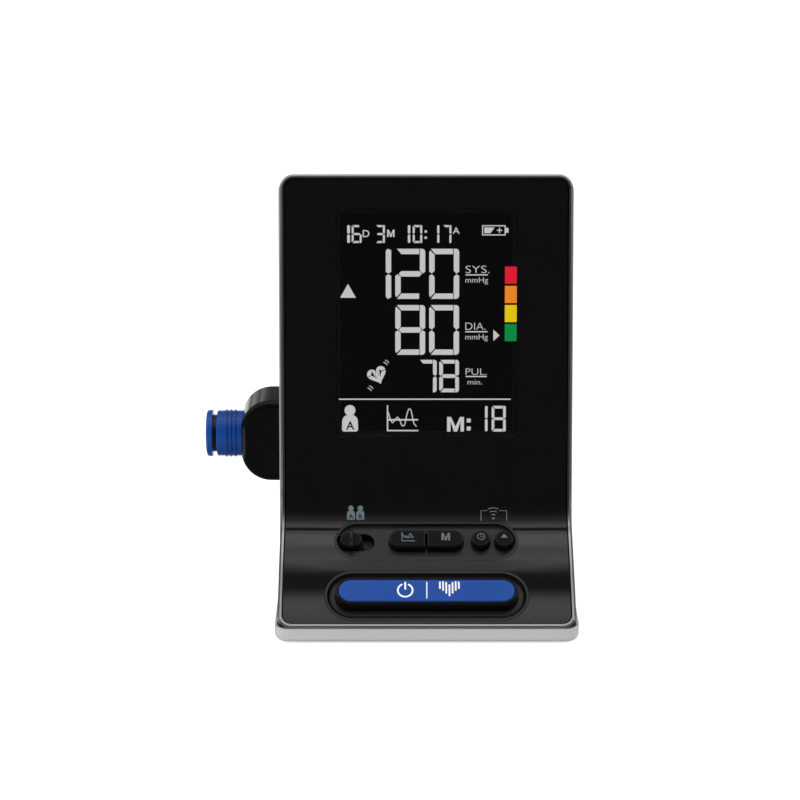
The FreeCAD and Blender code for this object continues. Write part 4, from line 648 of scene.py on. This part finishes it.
def draw_words(marks):
    """Units and names of the values."""
    # each name: its lower left corner, height and width, then its line's height and length
    for words, x, low, height, width, line_height, length in (
        ("SYS.", 14.05, 17.65, 2.85, 8.6, 17.0, 8.0),
        ("DIA.", 14.05, -2.75, 2.85, 7.3, -3.4, 8.0),
        ("PUL.", 14.2, -18.95, 2.55, 7.6, -19.5, 7.6),
    ):
        marks.text(words, x, low, height, -0.05, width)
        marks.line([(x, line_height), (x + length, line_height)], 0.42)
    for unit, x, low, height, width, bold in (
        ("mmHg", 14.05, 14.2, 2.1, 8.1, -0.02),
        ("mmHg", 14.05, -6.2, 2.1, 8.1, -0.02),
        ("min.", 14.9, -22.4, 2.0, 5.2, -0.02),
        ("D", -22.75, 30.55, 2.6, 2.4, 0.03),
        ("A", 9.45, 31.7, 2.4, 2.5, 0.03),
    ):
        marks.text(unit, x, low, height, bold, width)
    marks.letter_m(-14.0, 30.55, 2.65, 2.6, 0.55)
    marks.letter_m(7.55, -39.4, 6.1, 5.3, 1.25)


def draw_icons(marks):
    # battery with its charge and a plus
    left, low, right, high = 19.95, 31.1, 28.4, 34.75
    case = [(left, low), (right, low), (right, low + 0.9), (right + 1.0, low + 1.0),
            (right + 1.0, high - 1.0), (right, high - 0.9), (right, high), (left, high)]
    wall, inset = 0.38, 0.8
    marks.outlines(case, box_outline(left + wall, low + wall, right - wall, high - wall))
    marks.outlines([(left + inset, low + inset), (left + 3.0, low + inset),
                    (left + 4.5, high - inset), (left + inset, high - inset)])
    for half_x, half_y in ((0.95, 0.2), (0.2, 0.95)):
        marks.outlines(box_outline(26.2 - half_x, 32.93 - half_y, 26.2 + half_x, 32.93 + half_y))
    # marks beside the values, and the line below them
    marks.outlines([(-30.9, 8.8), (-25.2, 8.8), (-28.05, 13.8)])
    marks.outlines([(24.1, -6.75), (24.1, -2.6), (26.35, -4.7)])
    marks.line([(-31.4, -27.7), (30.4, -27.7)], 0.46)
    marks.person(-27.4, -39.4, 5.85, 9.6)
    # measured values over time
    marks.line([(-13.9, -29.9), (-13.9, -39.1)], 0.5)
    marks.line([(-14.1, -39.05), (-2.8, -39.05)], 0.5)
    marks.line([(-13.7, -35.15), (-2.9, -35.15)], 0.55)
    heights = ((-13.6, -32.4), (-13.0, -34.6), (-12.1, -36.2), (-11.2, -35.2), (-10.3, -34.2),
               (-9.5, -35.3), (-8.6, -37.3), (-7.7, -36.8), (-7.0, -33.6), (-6.3, -31.4),
               (-5.5, -31.6), (-4.9, -34.2), (-4.3, -36.6), (-3.4, -37.5))
    marks.line(smooth_line(heights), 0.36)


HEART_TURN = math.radians(22)


def draw_heart(marks):
    scale, count = 3.7 / 17, 40
    points = []
    for t in (2 * math.pi * number / count for number in range(count)):
        up = 13 * math.cos(t) - 5 * math.cos(2 * t) - 2 * math.cos(3 * t) - math.cos(4 * t)
        points.append((scale * 16 * math.sin(t) ** 3, scale * up))
    marks.outlines(turned_points(points, -17.6, -18.9, HEART_TURN))


def draw_cutouts(marks):
    """The dark pulse line across the heart and the dark letter on the user mark."""
    pulse = [(-3.3, 0.1), (-2.2, 0.2), (-1.6, 1.5), (-0.9, -1.5), (-0.1, 2.0), (0.7, -1.3),
             (1.3, 1.2), (1.8, 0.3), (3.3, 0.3)]
    marks.line(turned_points(pulse, -17.6, -18.5, HEART_TURN), 0.3)
    marks.text("A", -28.824, -38.7, 3.1, 0.06)


def draw_beats(marks):
    """Two short bent strokes on each side of the heart."""
    for x, y in ((-14.3, -14.4), (-20.0, -23.7)):
        for step in (-0.48, 0.48):
            bent = [(-0.85, step - 0.12), (0.0, step + 0.12), (0.85, step - 0.12)]
            marks.line(turned_points(bent, x, y, math.radians(-38)), 0.3)


def show(name, draw, material, above=LIT_ABOVE, slot="diffuser"):
    """Draws marks and lays them on the display's glass."""
    marks = Marks()
    draw(marks)
    marks.lay("display_" + name, DISPLAY, above, "monitor", slot, material)


# ------------------------------ operators


class MONITOR_OT_shells(bpy.types.Operator):
    """Finish the shells: trim frame, panel, housings, base plate and feet"""

    bl_idname = "monitor.shells"
    bl_label = "Shells"

    def execute(self, context):
        tints = settings().colours
        dress(["front_panel"], gloss_black())
        coat(["port_housing"], "Port black", tints.gloss_black, 0.16, drift=0.3, grain=900.0,
             bump=0.01, Specular_IOR_Level=0.2)
        coat(["trim_frame"], "Dark chrome", tints.trim, 0.24, drift=0.15, spread=0.08, grain=3000.0,
             Metallic=1.0)
        coat(["rear_housing", "base_plate", "battery_door"], "Silver paint", tints.silver, 0.36,
             drift=0.08, spread=0.06, grain=4200.0, depth=0.6, bump=0.12, Metallic=0.35)
        coat(["front_housing", "display_frame", "battery_box", "power_jack"], "Satin black",
             tints.satin_black, 0.42, grain=3000.0, bump=0.15)
        dress(["rubber_feet", "pump_sleeves", "seal_ring"], foot_rubber())
        return {"FINISHED"}


class MONITOR_OT_keys(bpy.types.Operator):
    """Finish the keys, their recess and the ring around the start key"""

    bl_idname = "monitor.keys"
    bl_label = "Keys"

    def execute(self, context):
        tints = settings().colours
        coat(["key_tray", "start_bezel"], "Recess black", tints.satin_black, 0.34, drift=0.2,
             grain=1500.0, bump=0.03)
        dress(["start_button", "graph_button", "memory_button", "clock_button", "up_button",
               "user_knob"], key_black())
        coat(["start_inlay", "socket_body", "release_flange"], "Blue plastic", tints.blue, 0.22,
             drift=0.12, spread=0.08, grain=2200.0, bump=0.04, Specular_IOR_Level=0.35)
        return {"FINISHED"}


class MONITOR_OT_inner_parts(bpy.types.Operator):
    """Finish the boards, air system, hose socket's inside and power parts"""

    bl_idname = "monitor.inner_parts"
    bl_label = "Inner parts"

    def execute(self, context):
        coat(["main_board", "key_board"], "Board lacquer", (0.008, 0.09, 0.03), 0.3, drift=0.35,
             bump=0.05)
        coat(["processor", "memory_chip", "buzzer", "slide_switch", "pressure_sensor"],
             "Chip resin", (0.012, 0.012, 0.013), 0.5, bump=0.1)
        coat(["radio_module", "dome_switches", "pump_motor", "jack_pin", "release_valve"],
             "Steel", (0.55, 0.55, 0.56), 0.25, drift=0.12, Metallic=1.0)
        coat(["capacitors"], "Aluminium can", (0.6, 0.6, 0.62), 0.3, Metallic=1.0)
        coat(["pump_head", "air_manifold", "backlight"], "White plastic", (0.62, 0.62, 0.6), 0.4,
             bump=0.08)
        coat(["socket_core", "release_sleeve"], "Black plastic", (0.014, 0.014, 0.015), 0.35,
             bump=0.1)
        coat(["pump_tube", "sensor_tube"], "Silicone", (0.5, 0.5, 0.48), 0.45, bump=0.05,
             Transmission_Weight=0.3)
        coat(["flat_cable"], "Cable film", (0.45, 0.25, 0.08), 0.35)
        coat(["lower_contacts", "upper_contacts"], "Contact metal", (0.66, 0.62, 0.52), 0.28,
             Metallic=1.0)
        cells = [f"battery_cell_{number}" for number in range(1, 5)]
        coat(cells, "Cell sleeve", (0.06, 0.065, 0.07), 0.3, Metallic=0.4)
        return {"FINISHED"}


class MONITOR_OT_display(bpy.types.Operator):
    """Make the display: its window, black cell and everything it shows"""

    bl_idname = "monitor.display"
    bl_label = "Display"

    def execute(self, context):
        coat(["display_window"], "Smoked glass", (0.86, 0.86, 0.87), 0.02, drift=0.02, spread=0.01,
             grain=600.0, bump=0.002, Transmission_Weight=1.0, IOR=1.4)
        dark = finish("Display glass", (0.0016, 0.0016, 0.0017), 0.3, drift=0.2, bump=0.01,
                      Specular_IOR_Level=0.1)
        dress(["display_glass"], dark)
        light = glow("Display light", settings().colours.display_light)
        show("digits", draw_digits, light)
        show("words", draw_words, light)
        show("icons", draw_icons, light)
        show("heart", draw_heart, light)
        show("cutouts", draw_cutouts, dark, COVER_ABOVE, "display_glass")
        show("beats", draw_beats, light)
        left, right, half = 28.2, 33.0, 3.08
        for name, tint, middle in (
            ("red", (0.80, 0.012, 0.03), 16.9),
            ("orange", (0.93, 0.27, 0.02), 10.0),
            ("yellow", (0.88, 0.62, 0.005), 3.15),
            ("green", (0.0, 0.28, 0.06), -3.7),
        ):
            square = box_outline(left, middle - half, right, middle + half)
            show(name, lambda marks: marks.outlines(square), glow("Display " + name, tint))
        return {"FINISHED"}


class MONITOR_OT_panel_prints(bpy.types.Operator):
    """Print the user marks and the bracket above the keys on the bend of the panel"""

    bl_idname = "monitor.panel_prints"
    bl_label = "Panel prints"

    def execute(self, context):
        band, letters_above = 0.35, 0.02
        marks, letters = Marks(), Marks()
        for letter, x in (("A", -27.05), ("B", -23.7)):
            marks.person(x, 0.0, 2.95, 5.3)
            letters.text(letter, x, 0.45, 1.75, 0.04, centre=True)
        # the bracket around three waves above a dot
        line, low, high = 0.28, -0.4, 3.4
        marks.line([(19.75, low), (19.75, high), (22.0, high)], line)
        marks.line([(29.0, low), (29.0, high), (26.4, high)], line)
        middle, foot = 24.2, 0.5
        marks.outlines(disc(middle, foot, 0.42))
        for radius in (1.5, 2.7, 3.9):
            marks.line(arc(middle, foot, radius, 62, 118), line * 1.15)
        marks.slice(band)
        marks.lay("panel_marks", Bend(), PRINT_ABOVE, "monitor", "satin_black", grey_print())
        letters.slice(band)
        letters.lay("panel_letters", Bend(), letters_above, "monitor", "gloss_black", gloss_black())
        return {"FINISHED"}


class MONITOR_OT_key_prints(bpy.types.Operator):
    """Print the marks on the keys"""

    bl_idname = "monitor.key_prints"
    bl_label = "Key prints"

    def execute(self, context):
        white = finish("White print", settings().colours.print_white, 0.45)
        line = settings().sizes.icon_line / MM

        graph = Marks()
        graph.line([(-8.7, 2.5), (-8.7, -1.1), (-4.1, -1.1)], line)
        graph.line([(-8.1, 0.4), (-4.3, 0.4)], line * 0.7)
        wave = [(-8.3, 1.6), (-7.7, 0.2), (-7.1, 1.0), (-6.5, 0.0), (-5.7, 2.0), (-5.0, 0.1)]
        graph.line(smooth_line(wave), line * 0.8)
        memory = Marks()
        memory.letter_m(5.4, -0.9, 3.1, 3.1, 0.7)
        clock = Marks()
        clock.outlines(disc(19.6, 0.7, 1.4), disc(19.6, 0.7, 1.08))
        clock.line([(19.6, 1.5), (19.6, 0.62), (20.2, 0.62)], line * 0.8)
        up = Marks()
        up.outlines([(26.6, 0.2), (29.1, 0.2), (27.85, 1.9)])
        for key, marks in (("graph", graph), ("memory", memory), ("clock", clock), ("up", up)):
            marks.lay(key + "_mark", KEY_TOPS, PRINT_ABOVE, key + "_key", "satin_black", grey_print())

        # the start key: a ring open at the top around a bar, and the divider
        start = Marks()
        start.line(arc(-7.57, 0.0, 2.6, 112, 428, 40), 0.62)
        start.outlines(round_box(-7.9, 0.3, -7.24, 3.4, 0.3))
        start.outlines(box_outline(-0.2, -3.3, 0.2, 3.4))
        start.lay("start_marks", START_TOP, PRINT_ABOVE, "start_key", "white_plastic", white)
        make_heart_bars(white)
        return {"FINISHED"}


def end_tree(tree, given, end, instances):
    """Makes the instances real, gives them the material and ends the tree."""
    real = feed(tree, "GeometryNodeRealizeInstances", Geometry=instances)
    put(tree, end, feed(tree, "GeometryNodeSetMaterial", Geometry=real, Material=given["Material"]))


def run_tree(name, tree, base, material, **sizes):
    """What the tree makes of the base mesh, as a plain mesh."""
    holder = new_object(name + "_maker", base)
    modifier = holder.modifiers.new(tree.name, "NODES")
    modifier.node_group = tree
    inputs = [item for item in tree.interface.items_tree if item.in_out == "INPUT"]
    sockets = {item.name: item.identifier for item in inputs}
    for label, value in {**sizes, "Material": material}.items():
        modifier[sockets[label.replace("_", " ")]] = value
    mesh = plain_mesh(holder)
    mesh.name = name
    return mesh


def block(tree, x, y, z):
    """A box of those sizes about the origin."""
    return feed(tree, "GeometryNodeMeshCube", Size=feed(tree, "ShaderNodeCombineXYZ", x, y, z))


def lowered(tree, mesh, depth):
    """A mesh moved down by a depth."""
    place = feed(tree, "ShaderNodeCombineXYZ", Z=maths(tree, "MULTIPLY", depth, -1.0))
    return feed(tree, "GeometryNodeTransform", Geometry=mesh, Translation=place)


def bars_tree():
    """A row of bars: each vertex of the base mesh carries its own height."""
    tree, given, end = new_group(
        "GeometryNodeTree", "Bar Row", "Geometry", Geometry=None, Material=None,
        Width=0.6 * MM, Thickness=0.03 * MM,
    )
    number = {"data_type": "FLOAT"}
    height = feed(tree, "GeometryNodeInputNamedAttribute", _settings=number, Name="bar_height")
    bars = feed(tree, "GeometryNodeInstanceOnPoints", Points=given["Geometry"],
                Instance=block(tree, given["Width"], 1.0, given["Thickness"]),
                Scale=feed(tree, "ShaderNodeCombineXYZ", 1.0, height, 1.0))
    end_tree(tree, given, end, bars)
    return tree


def screw_tree():
    """Pan head screws with a cross recess: a screw for each vertex, its head's top at the vertex."""
    tree, given, end = new_group(
        "GeometryNodeTree", "Cross Screws", "Geometry", Geometry=None, Material=None,
        Head_Radius=2.2 * MM, Head_Height=SCREW_HEAD, Shank_Radius=1.1 * MM,
        Shank_Length=6.0 * MM, Recess_Span=2.4 * MM, Recess_Width=0.6 * MM, Recess_Depth=0.7 * MM,
    )

    # head: a short cylinder whose upper ring is drawn in
    head = feed(tree, "GeometryNodeMeshCylinder", Vertices=20, Side_Segments=2,
                Radius=given["Head Radius"], Depth=given["Head Height"])
    spot = feed(tree, "GeometryNodeInputPosition")
    split = feed(tree, "ShaderNodeSeparateXYZ", spot)
    upper = maths(tree, "GREATER_THAN", split.outputs["Z"], 0.1 * MM)
    drawn_in = feed(tree, "ShaderNodeVectorMath", spot, (0.76, 0.76, 1.0),
                    _settings={"operation": "MULTIPLY"})
    pan = feed(tree, "GeometryNodeSetPosition", Geometry=head, Selection=upper, Position=drawn_in)
    half_head = maths(tree, "MULTIPLY", given["Head Height"], 0.5)
    carved = feed(tree, "GeometryNodeMeshBoolean", _settings={"operation": "DIFFERENCE"},
                  Mesh_1=lowered(tree, pan, half_head))

    # cross recess: two bars cut from the head
    span, width = given["Recess Span"], given["Recess Width"]
    twice = maths(tree, "MULTIPLY", given["Recess Depth"], 2.0)
    for across, along in ((span, width), (width, span)):
        fill(tree, carved, Mesh_2=block(tree, across, along, twice))

    # shank below the head
    shank = feed(tree, "GeometryNodeMeshCylinder", Vertices=14, Radius=given["Shank Radius"],
                 Depth=given["Shank Length"])
    below = maths(tree, "MULTIPLY_ADD", given["Shank Length"], 0.5, given["Head Height"])
    whole = feed(tree, "GeometryNodeJoinGeometry", Geometry=carved)
    fill(tree, whole, Geometry=lowered(tree, shank, below))
    screws = feed(tree, "GeometryNodeInstanceOnPoints", Points=given["Geometry"], Instance=whole)
    end_tree(tree, given, end, screws)
    return tree


def screw_places(node, right, up):
    """The axes of a node's screws, from its own mesh, along right and up."""
    apart = 6 * MM
    found = []
    for vertex in NODES[node].data.vertices:
        flat = Vector((vertex.co.dot(right), vertex.co.dot(up)))
        near = [spots for spots in found if (spots[0] - flat).length < apart]
        if near:
            near[0].append(flat)
        else:
            found.append([flat])
    return [(halfway([s.x for s in spots]), halfway([s.y for s in spots])) for spots in found]


def make_screws(tree, node, up, out, steel):
    """Screws with cross recesses in place of a node's plain ones. Their heads face out."""
    right = up.cross(out)
    levels = [vertex.co.dot(out) for vertex in NODES[node].data.vertices]
    top, depth = max(levels), max(levels) - min(levels)
    base = bpy.data.meshes.new(node)
    base.from_pydata([(x, y, 0) for x, y in screw_places(node, right, up)], [], [])
    mesh = run_tree("cross_" + node, tree, base, steel, Shank_Length=depth - SCREW_HEAD)
    turn = Matrix((right, up, out)).transposed().to_4x4()
    mesh.transform(Matrix.Translation(top * out) @ turn)
    piece = make_piece("cross_" + node, mesh, "monitor", steel)
    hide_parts(node)


def make_heart_bars(material):
    """Bars whose ends draw a heart, beside the divider on the start key."""
    pitch, middle, thick = 1.105, 7.95, settings().sizes.print_thick
    left_ends = [(3.5, 0.6), (3.65, -0.2), (3.3, -1.3)]
    ends = [*left_ends, (2.4, -2.4), *reversed(left_ends)]
    base = bpy.data.meshes.new("heart_bars")
    spots = [
        ((middle + number * pitch) * MM, (high + low) / 2 * MM, thick / 2)
        for number, (high, low) in enumerate(ends, -len(left_ends))
    ]
    base.from_pydata(spots, [], [])
    heights = base.attributes.new("bar_height", "FLOAT", "POINT")
    heights.data.foreach_set("value", [(high - low) * MM for high, low in ends])
    mesh = run_tree("heart_bars", bars_tree(), base, material, Thickness=thick)
    for vertex in mesh.vertices:
        x, y, z = vertex.co / MM
        vertex.co = START_TOP.place(x, y, z + PRINT_ABOVE)
    make_piece("heart_bars", mesh, "start_key", material)


class MONITOR_OT_screws(bpy.types.Operator):
    """Make the screws with their cross recesses"""

    bl_idname = "monitor.screws"
    bl_label = "Screws"

    def execute(self, context):
        steel = finish("Screw steel", (0.42, 0.42, 0.43), 0.3, drift=0.2, Metallic=1.0)
        tree = screw_tree()
        panel, keys = Plane(None, PANEL_TILT), Plane(None, KEY_SLOPE)
        down, back = Vector((0, 0, -1)), Vector((0, 1, 0))
        for node, up, out in (
            ("base_screws", back, down),
            ("shell_screws", -down, back),
            ("main_board_screws", panel.up, -panel.out),
            ("key_board_screws", keys.up, -keys.out),
        ):
            make_screws(tree, node, up, out, steel)
        return {"FINISHED"}


class MONITOR_OT_soft_ring(bpy.types.Operator):
    """Make the return ring in rubber, in place of the plain one. On the real monitor the release
    sleeve squeezes it as it goes in
    """

    bl_idname = "monitor.soft_ring"
    bl_label = "Soft ring"

    def execute(self, context):
        mesh = NODES["return_ring"].data.copy()
        sheet = bmesh.new()
        sheet.from_mesh(mesh)
        close_sheet(sheet, mesh)
        ring = make_piece("soft_return_ring", mesh, "monitor", foot_rubber())
        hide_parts("return_ring")
        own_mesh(ring)
        return {"FINISHED"}


class MONITOR_OT_knob_grip(bpy.types.Operator):
    """Round the ridge on the user switch's knob with a crown"""

    bl_idname = "monitor.knob_grip"
    bl_label = "Knob grip"

    def execute(self, context):
        sizes = settings().sizes
        top = plate_plane("user_knob", KEY_SLOPE)
        low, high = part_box("user_knob")
        middle = (low[0] + high[0]) / 2 / MM
        width, rise = sizes.grip_width / MM, sizes.grip_rise / MM
        half, sunk, count = 3.75, 0.25, 10
        # the crown's rings: how far along it each lies, and its share of the full height
        ends = [(half, 0.0), (half - 0.3, 0.75), (half - 0.9, 1.0)]
        sheet = bmesh.new()
        rings = []
        for along, share in [(-along, share) for along, share in ends] + ends[::-1]:
            ring = []
            for step in range(count + 1):
                angle = math.pi * step / count
                across = middle + width / 2 * math.cos(angle)
                lift = (rise + sunk) * share * math.sin(angle) - sunk
                ring.append(sheet.verts.new(top.place(across, along, lift)))
            rings.append(ring)
        for one, other in zip(rings, rings[1:]):
            for step in range(count):
                sheet.faces.new((one[step], one[step + 1], other[step + 1], other[step]))
            sheet.faces.new((one[0], other[0], other[count], one[count]))
        mesh = bpy.data.meshes.new("knob_grip")
        close_sheet(sheet, mesh)
        mesh.shade_smooth()
        make_piece("knob_grip", mesh, "user_switch", key_black())
        return {"FINISHED"}


class MONITOR_OT_stage(bpy.types.Operator):
    """Set up the floor, the light and the camera"""

    bl_idname = "monitor.stage"
    bl_label = "Stage"

    def execute(self, context):
        make_floor()
        make_world()
        make_lights()
        make_camera()
        context.scene.view_settings.view_transform = "Standard"
        return {"FINISHED"}


def between(tree, value, low, high):
    """One where the value lies between low and high, and nothing elsewhere."""
    above = maths(tree, "GREATER_THAN", value, low)
    return maths(tree, "MULTIPLY", above, maths(tree, "LESS_THAN", value, high))


def empty_tree(owner):
    owner.use_nodes = True
    owner.node_tree.nodes.clear()
    return owner.node_tree


def seen_and_dark(tree, backdrop):
    """How much of a ray sees the white, as the camera does and reflections of the backdrop do,
    and how much of it is a reflection beside the backdrop."""
    path = tree.nodes.new("ShaderNodeLightPath").outputs
    gloss = maths(tree, "MAXIMUM", path["Is Glossy Ray"], path["Is Transmission Ray"])
    mirrored = maths(tree, "MULTIPLY", gloss, backdrop)
    seen = maths(tree, "MAXIMUM", path["Is Camera Ray"], mirrored)
    return seen, maths(tree, "SUBTRACT", gloss, mirrored)


def make_floor():
    """A pale floor, white to the camera. Reflections see it white behind and on a card at the left."""
    half = 4.0
    mesh = bpy.data.meshes.new("floor")
    corners = [(x, y, 0) for x, y in box_outline(-half, -half, half, half)]
    mesh.from_pydata(corners, [], [(0, 1, 2, 3)])
    floor = new_object("floor", mesh)
    material = bpy.data.materials.new("Pale floor")
    tree = empty_tree(material)
    pale = feed(tree, "ShaderNodeBsdfDiffuse", Color=(0.8, 0.8, 0.8, 1))
    dim = feed(tree, "ShaderNodeBsdfDiffuse", Color=(0.16, 0.16, 0.16, 1))
    paper = feed(tree, "ShaderNodeEmission", Color=(0.62, 0.62, 0.62, 1))
    spot = tree.nodes.new("ShaderNodeTexCoord").outputs["Object"]
    place = feed(tree, "ShaderNodeSeparateXYZ", spot).outputs
    behind, card = (
        maths(tree, "MULTIPLY", between(tree, place["X"], *x), between(tree, place["Y"], *y))
        for x, y in (((-0.3, 0.3), (0.05, 9.0)), ((-0.26, -0.15), (-0.09, 0.03)))
    )
    seen, dark = seen_and_dark(tree, maths(tree, "MAXIMUM", behind, card))
    ground = feed(tree, "ShaderNodeMixShader", dark, pale, dim)
    white = feed(tree, "ShaderNodeAddShader", pale, paper)
    shown = feed(tree, "ShaderNodeMixShader", seen, ground, white)
    feed(tree, "ShaderNodeOutputMaterial", Surface=shown)
    mesh.materials.append(material)


# The studio's brightness by the angle from straight above: degrees towards the front, strength.
STUDIO = (
    (-180, 0.3), (-100, 0.9), (-84, 0.9), (-77, 0.12), (-62, 0.08), (-50, 0.3), (-30, 0.4),
    (-14, 0.75), (-9, 1.3), (-6, 1.6), (-3.6, 1.65), (-2.9, 0.9), (-2.1, 1.25), (0.4, 1.4),
    (1.2, 0.9), (2.4, 0.24), (3.4, 0.1), (7.0, 0.1), (7.9, 0.26), (8.6, 0.8), (9.4, 1.3),
    (12, 1.3), (16, 0.95), (22, 0.55), (28, 0.3), (34, 0.13), (40, 0.07), (60, 0.05),
    (100, 0.06), (180, 0.3),
)


def make_world():
    """A studio all around: a white backdrop behind, softboxes above, dark in front."""
    brightest = 2.0
    world = bpy.data.worlds.new("Studio")
    bpy.context.scene.world = world
    tree = empty_tree(world)
    way = tree.nodes.new("ShaderNodeTexCoord").outputs["Generated"]
    split = feed(tree, "ShaderNodeSeparateXYZ", way).outputs
    angle = maths(tree, "ARCTAN2", maths(tree, "MULTIPLY", split["Y"], -1.0), split["Z"])
    turns = maths(tree, "MULTIPLY_ADD", angle, 1 / (2 * math.pi), 0.5)
    ramp = feed(tree, "ShaderNodeValToRGB", Fac=turns)
    stops = ramp.color_ramp.elements
    stops.remove(stops[0])
    for number, (degrees, strength) in enumerate(STUDIO):
        place, level = (degrees + 180) / 360, strength / brightest
        spot = stops.new(place) if number else stops[0]
        spot.position = place
        spot.color = (level, level, level, 1)
    studio = feed(tree, "ShaderNodeBackground", Color=ramp, Strength=brightest)
    white = feed(tree, "ShaderNodeBackground", Color=(1, 1, 1, 1))
    behind = feed(tree, "ShaderNodeMapRange", Value=split["Y"], From_Min=0.15, From_Max=0.35)
    low = maths(tree, "LESS_THAN", split["Z"], 0.28)
    straight = maths(tree, "MULTIPLY", low, between(tree, split["X"], -0.27, 0.27))
    seen, _ = seen_and_dark(tree, maths(tree, "MULTIPLY", behind, straight))
    shown = feed(tree, "ShaderNodeMixShader", seen, studio, white)
    feed(tree, "ShaderNodeOutputWorld", Surface=shown)


def make_lights():
    """A large softbox on each side, in front of the object, kept out of its reflections."""
    for name, x, power in (("left softbox", -0.95, 11.5), ("right softbox", 1.05, 8.5)):
        data = bpy.data.lights.new(name, "AREA")
        data.shape = "RECTANGLE"
        data.size, data.size_y = 0.5, 0.9
        data.energy = power
        lamp = new_object(name, data)
        lamp.location = (x, -0.55, 0.55)
        lamp.visible_glossy = lamp.visible_transmission = False
        aim = Vector((0, 0, 0.06)) - lamp.location
        lamp.rotation_euler = aim.to_track_quat("-Z", "Y").to_euler()


def make_camera():
    data = bpy.data.cameras.new("camera")
    data.sensor_width = 36.0
    data.lens = 104.94
    camera = new_object("camera", data)
    camera.location = (-0.0094, -0.7818, 0.3594)
    camera.rotation_euler = (math.radians(70), 0, 0)
    bpy.context.scene.camera = camera


class MONITOR_PT_looks(bpy.types.Panel):
    """Lists the steps in the order in which they are made."""

    bl_idname = "MONITOR_PT_looks"
    bl_label = "Monitor looks"
    bl_space_type = "VIEW_3D"
    bl_region_type = "UI"
    bl_category = "Monitor"

    def draw(self, context):
        for operator in OPERATORS:
            self.layout.operator(operator.bl_idname)
        for group in (settings().colours, settings().sizes):
            for name in group.__annotations__:
                self.layout.prop(group, name)


OPERATORS = (
    MONITOR_OT_stage,
    MONITOR_OT_shells,
    MONITOR_OT_keys,
    MONITOR_OT_inner_parts,
    MONITOR_OT_display,
    MONITOR_OT_panel_prints,
    MONITOR_OT_key_prints,
    MONITOR_OT_soft_ring,
    MONITOR_OT_knob_grip,
    MONITOR_OT_screws,
)
CLASSES = (MonitorColours, MonitorSizes, MonitorSettings, *OPERATORS, MONITOR_PT_looks)


def register():
    for one in CLASSES:
        bpy.utils.register_class(one)
    bpy.types.Scene.monitor_looks = PointerProperty(type=MonitorSettings)


def unregister():
    del bpy.types.Scene.monitor_looks
    for one in reversed(CLASSES):
        bpy.utils.unregister_class(one)


def main():
    register()
    bpy.ops.monitor.stage()
    bpy.ops.monitor.shells()
    bpy.ops.monitor.keys()
    bpy.ops.monitor.inner_parts()
    bpy.ops.monitor.display()
    bpy.ops.monitor.panel_prints()
    bpy.ops.monitor.key_prints()
    bpy.ops.monitor.soft_ring()
    bpy.ops.monitor.knob_grip()
    bpy.ops.monitor.screws()


if __name__ == "__main__":
    main()
